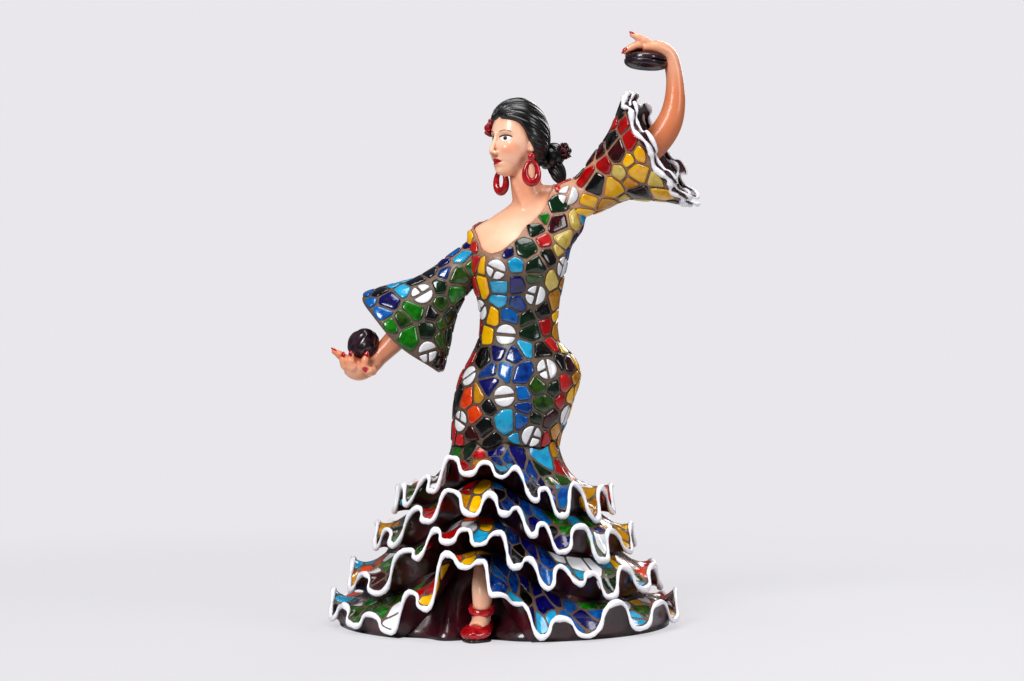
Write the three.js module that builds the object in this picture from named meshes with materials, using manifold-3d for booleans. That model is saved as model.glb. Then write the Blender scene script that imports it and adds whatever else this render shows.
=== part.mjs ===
// Souvenir figurine of a dancer in a flounced, mosaic-covered dress, cast in resin pieces and glued.
// Millimetres, +Z up, the dancer faces -Y. The origin is at the middle of the base.
import * as THREE from "three";
import { mergeVertices } from "three/addons/utils/BufferGeometryUtils.js";
import Module from "manifold-3d";

const wasm = await Module();
wasm.setup();

// Driving dimensions.
const glueGap = 0.35; // room left between two glued pieces
const axisX = -4.3; // the dress axis stands left of the base's middle, because the raised arm reaches right
const axisY = 0.4;
const waistJointZ = 62; // where the sheath dress sits on the skirt core
const waistStep = 0.6; // how far the top flounce starts below that
const skirtFloorRadius = 56;
const skirtTaper = 0.565; // radius lost for each millimetre of height
const skirtStations = 64; // steps round each flounce
const trimRadius = 0.95;
const flounceLip = 1.5; // thickness of a flounce at its edge

// Each flounce: edge radius, edge height at the sides, and how far and where the front edge is lifted.
const flounces = [
  { radius: 38.4, hem: 44.5, lift: 13, liftAt: -15, liftWidth: 32, ripples: 18, turn: 0.4 },
  { radius: 45.7, hem: 30.5, lift: 15, liftAt: -15, liftWidth: 30, ripples: 19, turn: 1.5 },
  { radius: 54.6, hem: 15.5, lift: 18.5, liftAt: -12, liftWidth: 27, ripples: 21, turn: 2.6 },
  { radius: 60.6, hem: 5, lift: 21, liftAt: -14, liftWidth: 17, ripples: 20, turn: 3.4 },
];
const rippleOut = 2;
const rippleDrop = 2.6;
const flounceRoot = 1.4; // how far a flounce's root lies below its lowest ripple
// The lowest flounce's root runs down to the floor where its edge is low.
const floorRoot = { steepness: 1.6, drop: 6 };
const flounceSwell = 0.6; // how far a flounce bulges between its root and its edge
const lipDepth = 4;
const rootStep = 0.02; // keeps a flounce's root corner apart from its underside's inner point

// The niche for the foot, the rounded fold beside it, and the boxes that keep pieces above the floor.
const niche = { at: [-8, -58, 0], half: [13, 16, 20] };
const fold = { at: [-17, -44, 9], half: [5.5, 8, 11] };
const belowFloor = { size: [60, 60, 20], at: [-10, -50, -10] };

// The torso's level sections: height, middle across, middle in depth, half width, half depth.
const torsoRows = [
  [62.4, 1, 0, 19.8, 17.5],
  [71, 2.5, 0, 20.6, 18],
  [80, 3.7, 0.5, 21.3, 18],
  [88, 5.7, 1, 21.2, 17.5],
  [94, 6.4, 1, 18.5, 15.5],
  [101, 5, 0, 14, 11.5],
  [108, 5.2, -0.5, 13.7, 11],
  [114, 5.1, -1, 14.3, 11.5],
  [120, 4.7, -1.8, 15.7, 13],
  [127, 4.7, -2.5, 17.2, 14.2],
  [134, 5.3, -1.5, 18.2, 12.5],
  [140, 7.6, 0, 19.8, 10.5],
  [145, 10.5, 0.8, 18.5, 9],
  [150, 13, 1.5, 14.5, 7.8],
  [154, 14.5, 1.8, 9.5, 6.4],
  [156.5, 15, 2, 4, 3.6],
];
// The scooped neckline, seen from the front, and its lowest height at the back.
const neckline = [
  [-16, 150],
  [-10, 138],
  [-8.4, 132],
  [-4.8, 130.5],
  [-0.9, 131.6],
  [6.3, 138],
  [15, 149.5],
  [19, 160],
];
const backNeckZ = 142;
const neckTopZ = 175;
const neckDepth = 44;

// A sleeve's sections: the point on its middle line, and its half height and half depth there.
const raisedSleeveRows = [
  [17, 1, 147, 6.6, 6],
  [31, 0, 153.6, 7.4, 6.6],
  [40, -2.5, 160, 10.6, 9],
  [46.5, -5, 164, 15, 12.6],
  [53.5, -8, 168, 21, 17],
];
const loweredSleeveRows = [
  [-3, 0, 134, 8, 7],
  [-11, -1, 128, 8.6, 7.6],
  [-20, -1.5, 119, 9.6, 8.6],
  [-29, -1.5, 111, 12.6, 11],
  [-37.5, -1, 103, 19, 15],
];
const sleeveWall = 1.8;
const cupStart = 0.55; // share of a sleeve's length where its hollow starts
// The frill round the raised sleeve's mouth.
const frill = { waves: 10, reach: 3.4, flare: 1.4, swing: 1.2, thickness: 1.4, bevel: 0.3 };

// Each forearm: points on its middle line from the sleeve's hollow to the wrist, and the radius at each.
const raisedArmRows = [
  [50, -6, 167.4, 5.2],
  [57.5, -7.6, 175, 4.9],
  [60.8, -8, 184, 3.9],
  [61.4, -8, 193, 3.1],
  [60, -8, 200.5, 2.8],
];
const loweredArmRows = [
  [-34, -1.5, 107, 4.6],
  [-40.5, -2, 100.5, 3.8],
  [-46.5, -3, 93.5, 3],
];

// Each hand: points and radii along the palm, and its fingers' points from the palm out.
const raisedHand = {
  palmRows: [[60, -8, 200.5, 2.8], [57, -8, 204.2, 3], [52, -8.2, 205, 3.2], [49, -8.4, 205, 2.8]],
  fingers: [
    [[50, -10.5, 205.6], [47.5, -11, 207.6], [45.4, -11, 209.1]],
    [[50, -9, 205.4], [46.5, -9.4, 206.4], [44, -9.6, 204.2]],
    [[50, -7, 205.2], [46.2, -6.8, 205.6], [44, -6.8, 203.4]],
    [[50, -5.4, 205], [47, -4.4, 204.6], [45, -4.2, 202.8]],
    [[57.4, -10.4, 203], [54.4, -12.6, 201.2], [51.4, -12.4, 200.4]],
  ],
};
const loweredHand = {
  palmRows: [[-46.5, -3, 93.5, 3], [-49.5, -4, 90.2, 3.6], [-53.4, -5, 89.6, 4], [-56, -5.4, 91.6, 3]],
  fingers: [
    [[-55.4, -5, 92], [-58.4, -5.2, 95.4], [-60.9, -5.4, 97.2]],
    [[-55, -7.4, 91.4], [-57.4, -9.4, 93.4], [-56.4, -9.8, 96]],
    [[-53, -7.8, 90.8], [-54.6, -10.2, 93], [-54.2, -10.4, 96]],
    [[-50.6, -7, 90.6], [-49, -9.4, 93.4], [-48.2, -9.2, 95.6]],
    [[-49.4, -6, 89.2], [-48, -8.6, 89.2], [-48.6, -9.6, 91.4]],
  ],
};
const fingerRadii = [1.5, 1.15, 0.8];

// The middle of each pair of castanets.
const raisedPairAt = [50, -8, 200];
const loweredPairAt = [-49.4, -3.6, 99.6];
// Castanet shells: middle, turn about X and then about Y in degrees, radius and depth.
const castanets = [
  { name: "raised_castanet_upper", at: raisedPairAt, turn: [0, 4], radius: 7.2, depth: 2.6, facing: -1 },
  { name: "raised_castanet_lower", at: raisedPairAt, turn: [0, 6], radius: 7.4, depth: 2.9, facing: 1 },
  { name: "lowered_castanet_front", at: loweredPairAt, turn: [66, -26], radius: 4.9, depth: 3.8, facing: -1 },
  { name: "lowered_castanet_back", at: loweredPairAt, turn: [66, -26], radius: 4.9, depth: 3.4, facing: 1 },
];

// Head and hair.
const headAt = [4.2, -1, 171.6];
const headHalf = [10, 10.6, 13]; // across, front to back, height
const headTurn = -52; // degrees about +Z, towards the lowered arm
const hairThickness = 1.6;
const hairInset = 0.6; // how far the hair's form is drawn in from its thickness over the head
const faceOpening = { size: [40, 24, 40], tilt: -38, at: [0, -13.6, -6] };
const skull = { at: [-0.6, 0, 1.4], inset: 0.9 };
const jaw = { at: [2.2, 0, -4.6], half: [6.6, 7.4, 8.2] };
const nose = { at: [10, 0, -2.2], half: [1.3, 1.6, 2.2] };
const hairAt = [-0.6, 0, 1.2];
const bun = { at: [17.4, 6, 166.5], half: [5, 4.6, 5.2], turned: 30 };
const tailRows = [
  [17.6, 5, 163, 2.6],
  [19.6, 3.6, 159.6, 2.8],
  [20.4, 2, 157.2, 2],
];
const hairFlower = { at: [20.8, 4, 168], radius: 2.4, count: 5, turned: 40, petalRadius: 1.9 };
const sideFlower = { at: [-5.4, 6.6, 175.4], radius: 2.6, count: 6, turned: -52, petalRadius: 2 };
const petalFlatness = 0.7;
const nearEarring = { at: [9.6, -9.6, 161], turned: 12 };
const farEarring = { at: [-1.2, 6.4, 157.8], turned: -40 };
const hoop = { halfWidth: 2.2, halfHeight: 3.8, thickness: 1.1, taper: 0.35, depth: 0.9 };
const stud = { at: [0, 0, 5.2], half: [1.2, 1.1, 1.4] };
const neckRows = [
  [10.5, 0.5, 146, 7.2],
  [8.6, 0.3, 152, 6.2],
  [7.2, 0, 160, 5.7],
  [6.2, 0, 166, 5.6],
];

// Leg and shoe. The shoe's rows give a half width and a half height.
const legRows = [
  [-6.6, -39, 25.5, 4.6],
  [-7, -45, 20, 4.4],
  [-7.4, -49, 12.5, 3.5],
  [-7.8, -50.5, 7.5, 3.6],
];
const shoeRows = [
  [-6.8, -45.5, 5.2, 3.2, 4.6],
  [-7.8, -50, 4.4, 4.4, 4.2],
  [-9.4, -55, 3, 5.2, 2.8],
  [-10.2, -58.5, 2.2, 4.2, 2],
  [-10.4, -60.4, 1.7, 2, 1.2],
];
const soleOutline = [
  [-6.6, -43.4],
  [-3.2, -46.5],
  [-3.4, -52],
  [-5.2, -58.6],
  [-9.6, -61],
  [-14, -58.6],
  [-14.2, -53.6],
  [-11.2, -47],
];
const soleThickness = 1;

const radians = THREE.MathUtils.degToRad;
const vector = ([x, y, z]) => new THREE.Vector3(x, y, z);

function bump(degreesAway, width) {
  return Math.exp(-((degreesAway / width) ** 2));
}

// A closed solid from a row of rings that all have the same number of points.
function loft(rings, closedRound = false) {
  const count = rings[0].length;
  const positions = [];
  rings.forEach((ring) => ring.forEach((p) => positions.push(p.x, p.y, p.z)));
  const index = [];
  const bands = closedRound ? rings.length : rings.length - 1;
  for (let i = 0; i < bands; i++) {
    const next = (i + 1) % rings.length;
    for (let j = 0; j < count; j++) {
      const k = (j + 1) % count;
      const [a, b, c, d] = [i * count + j, i * count + k, next * count + k, next * count + j];
      index.push(a, b, c, a, c, d);
    }
  }
  if (!closedRound) {
    [0, rings.length - 1].forEach((end) => {
      const middle = new THREE.Vector3();
      rings[end].forEach((p) => middle.add(p));
      middle.divideScalar(count);
      const centre = positions.length / 3;
      positions.push(middle.x, middle.y, middle.z);
      for (let j = 0; j < count; j++) {
        const a = end * count + j;
        const b = end * count + ((j + 1) % count);
        index.push(...(end === 0 ? [centre, b, a] : [centre, a, b]));
      }
    });
  }
  const geometry = new THREE.BufferGeometry();
  geometry.setAttribute("position", new THREE.Float32BufferAttribute(positions, 3));
  geometry.setIndex(index);
  return solidOf(geometry);
}

// A manifold solid whose faces point out, from a closed geometry.
function solidOf(geometry) {
  geometry.deleteAttribute("normal");
  geometry.deleteAttribute("uv");
  const merged = mergeVertices(geometry, 1e-4);
  const triVerts = new Uint32Array(merged.index.array);
  const vertProperties = merged.attributes.position.array;
  const solid = new wasm.Manifold(new wasm.Mesh({ numProp: 3, vertProperties, triVerts }));
  if (solid.volume() > 0) return solid;
  return new wasm.Manifold(new wasm.Mesh({ numProp: 3, vertProperties, triVerts: triVerts.reverse() }));
}

function ellipsoid(at, half, turnDegrees = 0, round = 16, tall = 10) {
  const geometry = new THREE.SphereGeometry(1, round, tall);
  geometry.rotateX(Math.PI / 2);
  geometry.scale(...half);
  geometry.rotateZ(radians(turnDegrees));
  geometry.translate(...at);
  return solidOf(geometry);
}

function joined(solids) {
  return solids.reduce((a, b) => a.add(b));
}

// Values between the rows of a table, along a smooth curve through them.
function between(rows, share) {
  const at = share * (rows.length - 1);
  const i = Math.min(Math.floor(at), rows.length - 2);
  const t = at - i;
  const [here, next] = [rows[i], rows[i + 1]];
  const before = rows[Math.max(i - 1, 0)];
  const after = rows[Math.min(i + 2, rows.length - 1)];
  return here.map((value, n) => {
    const [p0, p1, p2, p3] = [before[n], value, next[n], after[n]];
    const bend = (2 * p0 - 5 * p1 + 4 * p2 - p3) * t + (3 * p1 - p0 - 3 * p2 + p3) * t * t;
    return p1 + 0.5 * t * (p2 - p0 + bend);
  });
}

// Rings of a tube with a level section direction kept near +Y, for arms, legs, necks and sleeves.
function tubeRings(rows, steps, sides, grow = 0, from = 0, to = 1) {
  const rings = [];
  for (let i = 0; i <= steps; i++) {
    const share = from + ((to - from) * i) / steps;
    const row = between(rows, share);
    const ahead = vector(between(rows, Math.min(share + 0.01, 1)));
    const behind = vector(between(rows, Math.max(share - 0.01, 0)));
    const along = ahead.sub(behind).normalize();
    const across = new THREE.Vector3(0, 1, 0).cross(along).normalize();
    const depth = along.clone().cross(across);
    const [half, halfDepth] = [row[3] + grow, (row[4] ?? row[3]) + grow];
    const ring = [];
    for (let j = 0; j < sides; j++) {
      const angle = (2 * Math.PI * j) / sides;
      const point = vector(row).addScaledVector(across, half * Math.cos(angle));
      ring.push(point.addScaledVector(depth, halfDepth * Math.sin(angle)));
    }
    rings.push(ring);
  }
  return rings;
}

function tube(rows, steps, sides, grow = 0) {
  return loft(tubeRings(rows, steps, sides, grow));
}

// The torso form, made larger or smaller by grow.
function torso(grow = 0) {
  const steps = 17;
  const sides = 24;
  const rings = [];
  for (let i = 0; i <= steps; i++) {
    const [z, x, y, half, halfDepth] = between(torsoRows, i / steps);
    const ring = [];
    for (let j = 0; j < sides; j++) {
      const angle = (2 * Math.PI * j) / sides;
      const across = x + (half + grow) * Math.cos(angle);
      ring.push(new THREE.Vector3(across, y + (halfDepth + grow) * Math.sin(angle), z));
    }
    rings.push(ring);
  }
  if (grow > 0) rings[rings.length - 1].forEach((p) => (p.z += grow));
  return loft(rings);
}

// The space above the neckline, front and back.
function necklineSpace() {
  const outline = neckline.map(([x, z]) => new THREE.Vector2(x, z));
  const front = new THREE.Shape();
  front.moveTo(outline[0].x, neckTopZ);
  front.lineTo(outline[0].x, outline[0].y);
  front.splineThru(outline.slice(1));
  front.lineTo(outline.at(-1).x, neckTopZ);
  const settings = { depth: neckDepth, bevelEnabled: false, curveSegments: 3 };
  const frontGeometry = new THREE.ExtrudeGeometry(front, settings);
  frontGeometry.rotateX(Math.PI / 2);
  frontGeometry.translate(0, 2, 0);
  const backWidth = outline.at(-1).x - outline[0].x;
  const backGeometry = new THREE.BoxGeometry(backWidth, neckDepth, neckTopZ - backNeckZ);
  backGeometry.translate(outline[0].x + backWidth / 2, neckDepth / 2, (neckTopZ + backNeckZ) / 2);
  return solidOf(frontGeometry).add(solidOf(backGeometry));
}

// The room that a solid needs in its neighbour: its copies moved a glue gap each way.
function roomAround(solid) {
  const moves = [[1, 0, 0], [-1, 0, 0], [0, 1, 0], [0, 0, -1]];
  return joined(moves.map((move) => solid.translate(move.map((part) => part * glueGap))));
}

function neck(grow = 0) {
  return tube(neckRows, 6, 20, grow);
}

function skirtRadius(z) {
  return skirtFloorRadius - skirtTaper * z;
}

// Everything under a height, below the front of the skirt.
function floorBox(height = 0) {
  const [x, y, z] = belowFloor.at;
  const geometry = new THREE.BoxGeometry(...belowFloor.size);
  geometry.translate(x, y, z + height);
  return solidOf(geometry);
}

function leg(grow = 0) {
  return tube(legRows, 8, 14, grow);
}

function shoe(grow = 0) {
  const above = soleThickness + glueGap - grow;
  return tube(shoeRows, 8, 16, grow).subtract(floorBox(above));
}

function shoeSole(grow = 0) {
  const shape = new THREE.Shape();
  shape.moveTo(...soleOutline[0]);
  const rest = [...soleOutline.slice(1), soleOutline[0]];
  shape.splineThru(rest.map(([x, y]) => new THREE.Vector2(x, y)));
  const settings = { depth: soleThickness + grow, bevelEnabled: false, curveSegments: 3 };
  return solidOf(new THREE.ExtrudeGeometry(shape, settings));
}

// The rounded fold of the underskirt beside the leg.
function skirtFold(grow = 0) {
  return ellipsoid(fold.at, fold.half.map((half) => half + grow));
}

// The skirt's solid core: a cone from the floor to the waist joint, with a fold beside a niche for the foot.
function underskirt() {
  const rings = [0, 12, 24, 36, 48, waistJointZ].map((z) => {
    const ring = [];
    for (let j = 0; j < skirtStations; j++) {
      const angle = (2 * Math.PI * j) / skirtStations;
      ring.push(new THREE.Vector3(skirtRadius(z) * Math.cos(angle), skirtRadius(z) * Math.sin(angle), z));
    }
    return ring;
  });
  const footRoom = ellipsoid(niche.at, niche.half);
  const footing = joined([leg(glueGap), shoe(glueGap), shoeSole(glueGap)]);
  const standingFold = skirtFold().subtract(floorBox());
  return loft(rings).subtract(footRoom).add(standingFold).subtract(footing);
}

// A flounce's edge at a station: its radius and height.
function flounceEdge(flounce, angle) {
  const away = THREE.MathUtils.radToDeg(angle) - flounce.liftAt;
  const degrees = THREE.MathUtils.euclideanModulo(away + 180, 360) - 180;
  const hem = flounce.hem + flounce.lift * bump(degrees, flounce.liftWidth);
  const ripple = Math.cos(flounce.ripples * angle + flounce.turn);
  return { hem, radius: flounce.radius + rippleOut * ripple, height: hem - rippleDrop * ripple };
}

// The height where a flounce's underside meets the core.
function underHeight(number, angle) {
  const { hem } = flounceEdge(flounces[number], angle);
  const under = hem - rippleDrop - flounceRoot;
  const lowest = number === flounces.length - 1;
  return lowest ? Math.max(under * floorRoot.steepness - floorRoot.drop, 0) : under;
}

function topHeight(number, angle) {
  return number === 0 ? waistJointZ - waistStep : underHeight(number - 1, angle) - glueGap;
}

// A point on the half plane at a station: angle 0 is the front, and grows towards the raised arm.
function onPlane(angle, radius, z) {
  return new THREE.Vector3(radius * Math.sin(angle), -radius * Math.cos(angle), z);
}

function flounceRing(number) {
  const rings = [];
  for (let i = 0; i < skirtStations; i++) {
    const angle = (2 * Math.PI * i) / skirtStations;
    const edge = flounceEdge(flounces[number], angle);
    const top = topHeight(number, angle);
    const under = underHeight(number, angle);
    const lipRadius = edge.radius - trimRadius - glueGap;
    const topRadius = skirtRadius(top) + glueGap;
    const underRadius = skirtRadius(under) + glueGap;
    const middle = (topRadius + lipRadius) / 2;
    rings.push([
      onPlane(angle, topRadius, top),
      onPlane(angle, middle, (top + edge.height) / 2 + flounceSwell),
      onPlane(angle, lipRadius, edge.height + flounceLip / 2),
      onPlane(angle, lipRadius, Math.max(edge.height - flounceLip / 2, under)),
      onPlane(angle, Math.max(underRadius, lipRadius - lipDepth), under),
      onPlane(angle, underRadius - rootStep, under),
    ]);
  }
  return loft(rings, true);
}

function trimRing(number) {
  const rings = [];
  for (let i = 0; i < skirtStations; i++) {
    const angle = (2 * Math.PI * i) / skirtStations;
    const edge = flounceEdge(flounces[number], angle);
    const ring = [];
    for (let j = 0; j < 4; j++) {
      const around = (Math.PI / 2) * j;
      const out = edge.radius + trimRadius * Math.cos(around);
      ring.push(onPlane(angle, out, edge.height + trimRadius * Math.sin(around)));
    }
    rings.push(ring);
  }
  return loft(rings, true);
}

// A bell sleeve: closed at the shoulder, hollow from cupStart to its mouth.
function sleeve(rows) {
  const outside = tubeRings(rows, 9, 18);
  const inside = tubeRings(rows, 4, 18, -sleeveWall, cupStart, 1).reverse();
  return loft([...outside, ...inside]).subtract(torso(glueGap));
}

// The frill round the raised sleeve's mouth: a rippled band just outside the sleeve's edge.
function sleeveFrill(rows) {
  const sides = 4 * frill.waves;
  const mouth = tubeRings(rows, 1, sides, 0, 0.985, 1);
  const middle = vector(rows.at(-1));
  const along = middle.clone().sub(vector(rows.at(-2))).normalize();
  const rings = [];
  for (let j = 0; j < sides; j++) {
    const out = mouth[1][j].clone().sub(middle).normalize();
    const wave = Math.cos(frill.waves * ((2 * Math.PI * j) / sides));
    const inner = mouth[1][j].clone().addScaledVector(along, glueGap).addScaledVector(out, -sleeveWall);
    const outer = mouth[1][j].clone().addScaledVector(along, frill.reach + wave);
    outer.addScaledVector(out, frill.flare + frill.swing * wave);
    rings.push([
      inner,
      inner.clone().addScaledVector(out, sleeveWall),
      outer,
      outer.clone().addScaledVector(out, -frill.thickness).addScaledVector(along, frill.bevel),
    ]);
  }
  return loft(rings, true);
}

function forearm(armRows, hand) {
  const palm = tube(hand.palmRows, 4, 10);
  const fingers = hand.fingers.map((points) => tube(points.map((p, i) => [...p, fingerRadii[i]]), 3, 6));
  return joined([tube(armRows, 8, 10), palm, ...fingers]);
}

function castanetShell({ at, turn, radius, depth, facing }) {
  const dome = [];
  const steps = 5;
  for (let i = 0; i < steps; i++) {
    const angle = (Math.PI / 2) * (i / steps);
    dome.push(new THREE.Vector2(radius * Math.cos(angle), glueGap + depth * Math.sin(angle)));
  }
  const profile = [new THREE.Vector2(0, glueGap), ...dome, new THREE.Vector2(0, glueGap + depth)];
  const geometry = new THREE.LatheGeometry(profile, 18);
  geometry.rotateX(Math.PI / 2);
  if (facing > 0) geometry.rotateX(Math.PI);
  geometry.rotateX(radians(turn[0]));
  geometry.rotateY(radians(turn[1]));
  geometry.translate(...at);
  return solidOf(geometry);
}

// A drop-shaped hoop with its stud, hanging in a plane turned about +Z.
function earring({ at, turned }) {
  const rings = [];
  const steps = 16;
  for (let i = 0; i < steps; i++) {
    const angle = (2 * Math.PI * i) / steps;
    const thick = hoop.thickness - hoop.taper * Math.sin(angle);
    const out = new THREE.Vector3(Math.cos(angle), 0, Math.sin(angle));
    const middle = new THREE.Vector3(hoop.halfWidth * out.x, 0, hoop.halfHeight * out.z);
    const ring = [];
    for (let j = 0; j < 6; j++) {
      const around = (2 * Math.PI * j) / 6;
      const side = new THREE.Vector3(0, hoop.depth * Math.sin(around), 0);
      ring.push(middle.clone().addScaledVector(out, thick * Math.cos(around)).add(side));
    }
    rings.push(ring);
  }
  const top = ellipsoid(stud.at, stud.half, 0, 8, 6);
  return loft(rings, true).add(top).rotate([0, 0, turned]).translate(at);
}

// A place on the head: how far forward, to the dancer's left and up from the head's middle.
function onHead(forward, side, up) {
  const [x, y, z] = headAt;
  const turn = radians(headTurn);
  return [
    x + forward * Math.sin(turn) + side * Math.cos(turn),
    y - forward * Math.cos(turn) + side * Math.sin(turn),
    z + up,
  ];
}

function head(grow = 0) {
  const larger = (half) => half.map((value) => value + grow);
  const upper = ellipsoid(onHead(...skull.at), larger(headHalf.map((half) => half - skull.inset)), headTurn);
  const lower = ellipsoid(onHead(...jaw.at), larger(jaw.half), headTurn);
  const middle = ellipsoid(onHead(...nose.at), larger(nose.half), headTurn, 8, 6);
  return joined([upper, lower, middle]);
}

// The whole form of the hair over the skull.
function hairForm(grow = 0) {
  const half = headHalf.map((value) => value + hairThickness + grow - hairInset);
  return ellipsoid(onHead(...hairAt), half, headTurn, 18, 12);
}

// The hair: a cap over the skull, open at the face and the neck.
function hairCap() {
  const face = new THREE.BoxGeometry(...faceOpening.size);
  face.rotateX(radians(faceOpening.tilt));
  face.translate(...faceOpening.at);
  face.rotateZ(radians(headTurn));
  face.translate(...headAt);
  return hairForm().subtract(head(glueGap)).subtract(solidOf(face)).subtract(neck(glueGap));
}

function hairBun(grow = 0) {
  return ellipsoid(bun.at, bun.half.map((half) => half + grow), bun.turned);
}

function largestBody(solid) {
  return solid.decompose().sort((a, b) => b.volume() - a.volume())[0];
}

function petals({ at, radius, count, turned, petalRadius }) {
  const turn = radians(turned);
  const half = [petalRadius, petalRadius * petalFlatness, petalRadius];
  const ring = [];
  for (let i = 0; i < count; i++) {
    const angle = (2 * Math.PI * i) / count;
    const side = radius * Math.cos(angle);
    const [x, y, z] = [side * Math.cos(turn), side * Math.sin(turn), radius * Math.sin(angle)];
    ring.push(ellipsoid([at[0] + x, at[1] + y, at[2] + z], half, turned, 6, 5));
  }
  return joined([ellipsoid(at, [petalRadius, petalRadius, petalRadius], turned, 6, 5), ...ring]);
}

// Colours and finishes.
const finishes = {
  mosaic: { color: 0x3a6f86, roughness: 0.22, metalness: 0 },
  maroon: { color: 0x4b0f1e, roughness: 0.35, metalness: 0 },
  whiteEdge: { color: 0xf0f0fa, roughness: 0.3, metalness: 0 },
  skin: { color: 0xf0b487, roughness: 0.3, metalness: 0 },
  hair: { color: 0x0f0c10, roughness: 0.2, metalness: 0 },
  red: { color: 0xb40f19, roughness: 0.2, metalness: 0 },
  castanet: { color: 0x281620, roughness: 0.18, metalness: 0 },
  darkRed: { color: 0x3a0c14, roughness: 0.3, metalness: 0 },
  sole: { color: 0x1c1214, roughness: 0.5, metalness: 0 },
};

const figurine = new THREE.Group();
figurine.position.set(axisX, axisY, 0);

function addPiece(name, solid, finish) {
  const { numProp, numVert, vertProperties, triVerts } = solid.getMesh();
  const positions = new Float32Array(numVert * 3);
  for (let i = 0; i < numVert; i++) {
    positions.set(vertProperties.subarray(i * numProp, i * numProp + 3), i * 3);
  }
  const geometry = new THREE.BufferGeometry();
  geometry.setAttribute("position", new THREE.BufferAttribute(positions, 3));
  geometry.setIndex(new THREE.BufferAttribute(triVerts, 1));
  geometry.computeVertexNormals();
  const mesh = new THREE.Mesh(geometry, new THREE.MeshStandardMaterial(finishes[finish]));
  mesh.name = name;
  figurine.add(mesh);
}

// Skirt.
addPiece("underskirt", underskirt(), "maroon");
flounces.forEach((flounce, number) => {
  const ring = flounceRing(number);
  const onlyLast = number === flounces.length - 1;
  const cut = onlyLast ? ring.subtract(leg(glueGap)).subtract(skirtFold(glueGap)) : ring;
  addPiece(`flounce_${number + 1}`, largestBody(cut), "mosaic");
  addPiece(`flounce_trim_${number + 1}`, trimRing(number), "whiteEdge");
});

// Dress body, shoulders and neck.
const sheath = torso().subtract(roomAround(necklineSpace())).subtract(neck(glueGap));
addPiece("dress_sheath", largestBody(sheath), "mosaic");
addPiece("bust_and_neck", largestBody(torso(-0.3).intersect(necklineSpace()).add(neck())), "skin");

// Sleeves.
addPiece("raised_sleeve", largestBody(sleeve(raisedSleeveRows)), "mosaic");
addPiece("raised_sleeve_frill", sleeveFrill(raisedSleeveRows), "maroon");
addPiece("lowered_sleeve", largestBody(sleeve(loweredSleeveRows)), "mosaic");

// Castanets, then the hands that hold them.
const shells = castanets.map(castanetShell);
castanets.forEach(({ name }, i) => addPiece(name, shells[i], "castanet"));
const shellRoom = castanets.map((shell) => {
  const [radius, depth] = [shell.radius + glueGap, shell.depth + glueGap];
  return castanetShell({ ...shell, radius, depth });
});
const raisedForearm = forearm(raisedArmRows, raisedHand).subtract(shellRoom[0]).subtract(shellRoom[1]);
const loweredForearm = forearm(loweredArmRows, loweredHand).subtract(shellRoom[2]).subtract(shellRoom[3]);
addPiece("raised_forearm", largestBody(raisedForearm), "skin");
addPiece("lowered_forearm", largestBody(loweredForearm), "skin");

// Head, hair and ornaments.
addPiece("head", head().subtract(neck(glueGap)), "skin");
addPiece("hair_cap", largestBody(hairCap()), "hair");
const bunRoom = joined([hairForm(glueGap), head(glueGap), neck(glueGap)]);
addPiece("hair_bun", largestBody(hairBun().subtract(bunRoom)), "hair");
const tailRoom = joined([bunRoom, hairBun(glueGap), torso(glueGap)]);
addPiece("hair_tail", largestBody(tube(tailRows, 5, 10).subtract(tailRoom)), "hair");
const flowerRoom = bunRoom.add(hairBun(glueGap));
addPiece("hair_flower", largestBody(petals(hairFlower).subtract(flowerRoom)), "darkRed");
addPiece("side_flower", largestBody(petals(sideFlower).subtract(flowerRoom)), "red");
addPiece("near_earring", earring(nearEarring).subtract(flowerRoom), "red");
addPiece("far_earring", earring(farEarring).subtract(flowerRoom), "red");

// Foot.
addPiece("leg", leg().subtract(shoe(glueGap)), "skin");
addPiece("shoe", largestBody(shoe()), "red");
addPiece("shoe_sole", shoeSole(), "sole");

export default figurine;
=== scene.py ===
import math
import random

import bmesh
import bpy
import numpy as np
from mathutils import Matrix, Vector
from mathutils.bvhtree import BVHTree


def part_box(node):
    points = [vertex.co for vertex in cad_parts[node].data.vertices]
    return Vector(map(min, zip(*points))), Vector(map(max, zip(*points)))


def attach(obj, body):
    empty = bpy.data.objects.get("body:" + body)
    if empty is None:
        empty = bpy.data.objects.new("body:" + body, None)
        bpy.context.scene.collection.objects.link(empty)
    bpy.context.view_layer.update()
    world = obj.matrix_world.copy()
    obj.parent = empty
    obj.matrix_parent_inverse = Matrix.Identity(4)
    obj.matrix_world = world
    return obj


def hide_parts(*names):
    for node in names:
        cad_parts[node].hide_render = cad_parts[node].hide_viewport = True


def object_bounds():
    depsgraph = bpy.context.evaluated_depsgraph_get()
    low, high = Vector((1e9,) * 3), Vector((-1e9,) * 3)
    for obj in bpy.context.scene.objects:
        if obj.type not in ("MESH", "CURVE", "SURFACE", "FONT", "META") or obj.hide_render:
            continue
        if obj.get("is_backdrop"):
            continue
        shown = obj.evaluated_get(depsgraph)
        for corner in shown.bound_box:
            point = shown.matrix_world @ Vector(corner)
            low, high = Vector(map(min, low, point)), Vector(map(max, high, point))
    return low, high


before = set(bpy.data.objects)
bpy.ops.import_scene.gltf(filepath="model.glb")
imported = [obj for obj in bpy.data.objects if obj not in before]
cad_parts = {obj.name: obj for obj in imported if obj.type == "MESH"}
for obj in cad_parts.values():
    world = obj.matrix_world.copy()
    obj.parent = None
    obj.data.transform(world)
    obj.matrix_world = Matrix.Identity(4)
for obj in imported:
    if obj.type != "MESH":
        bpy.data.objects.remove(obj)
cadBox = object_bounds()

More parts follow.
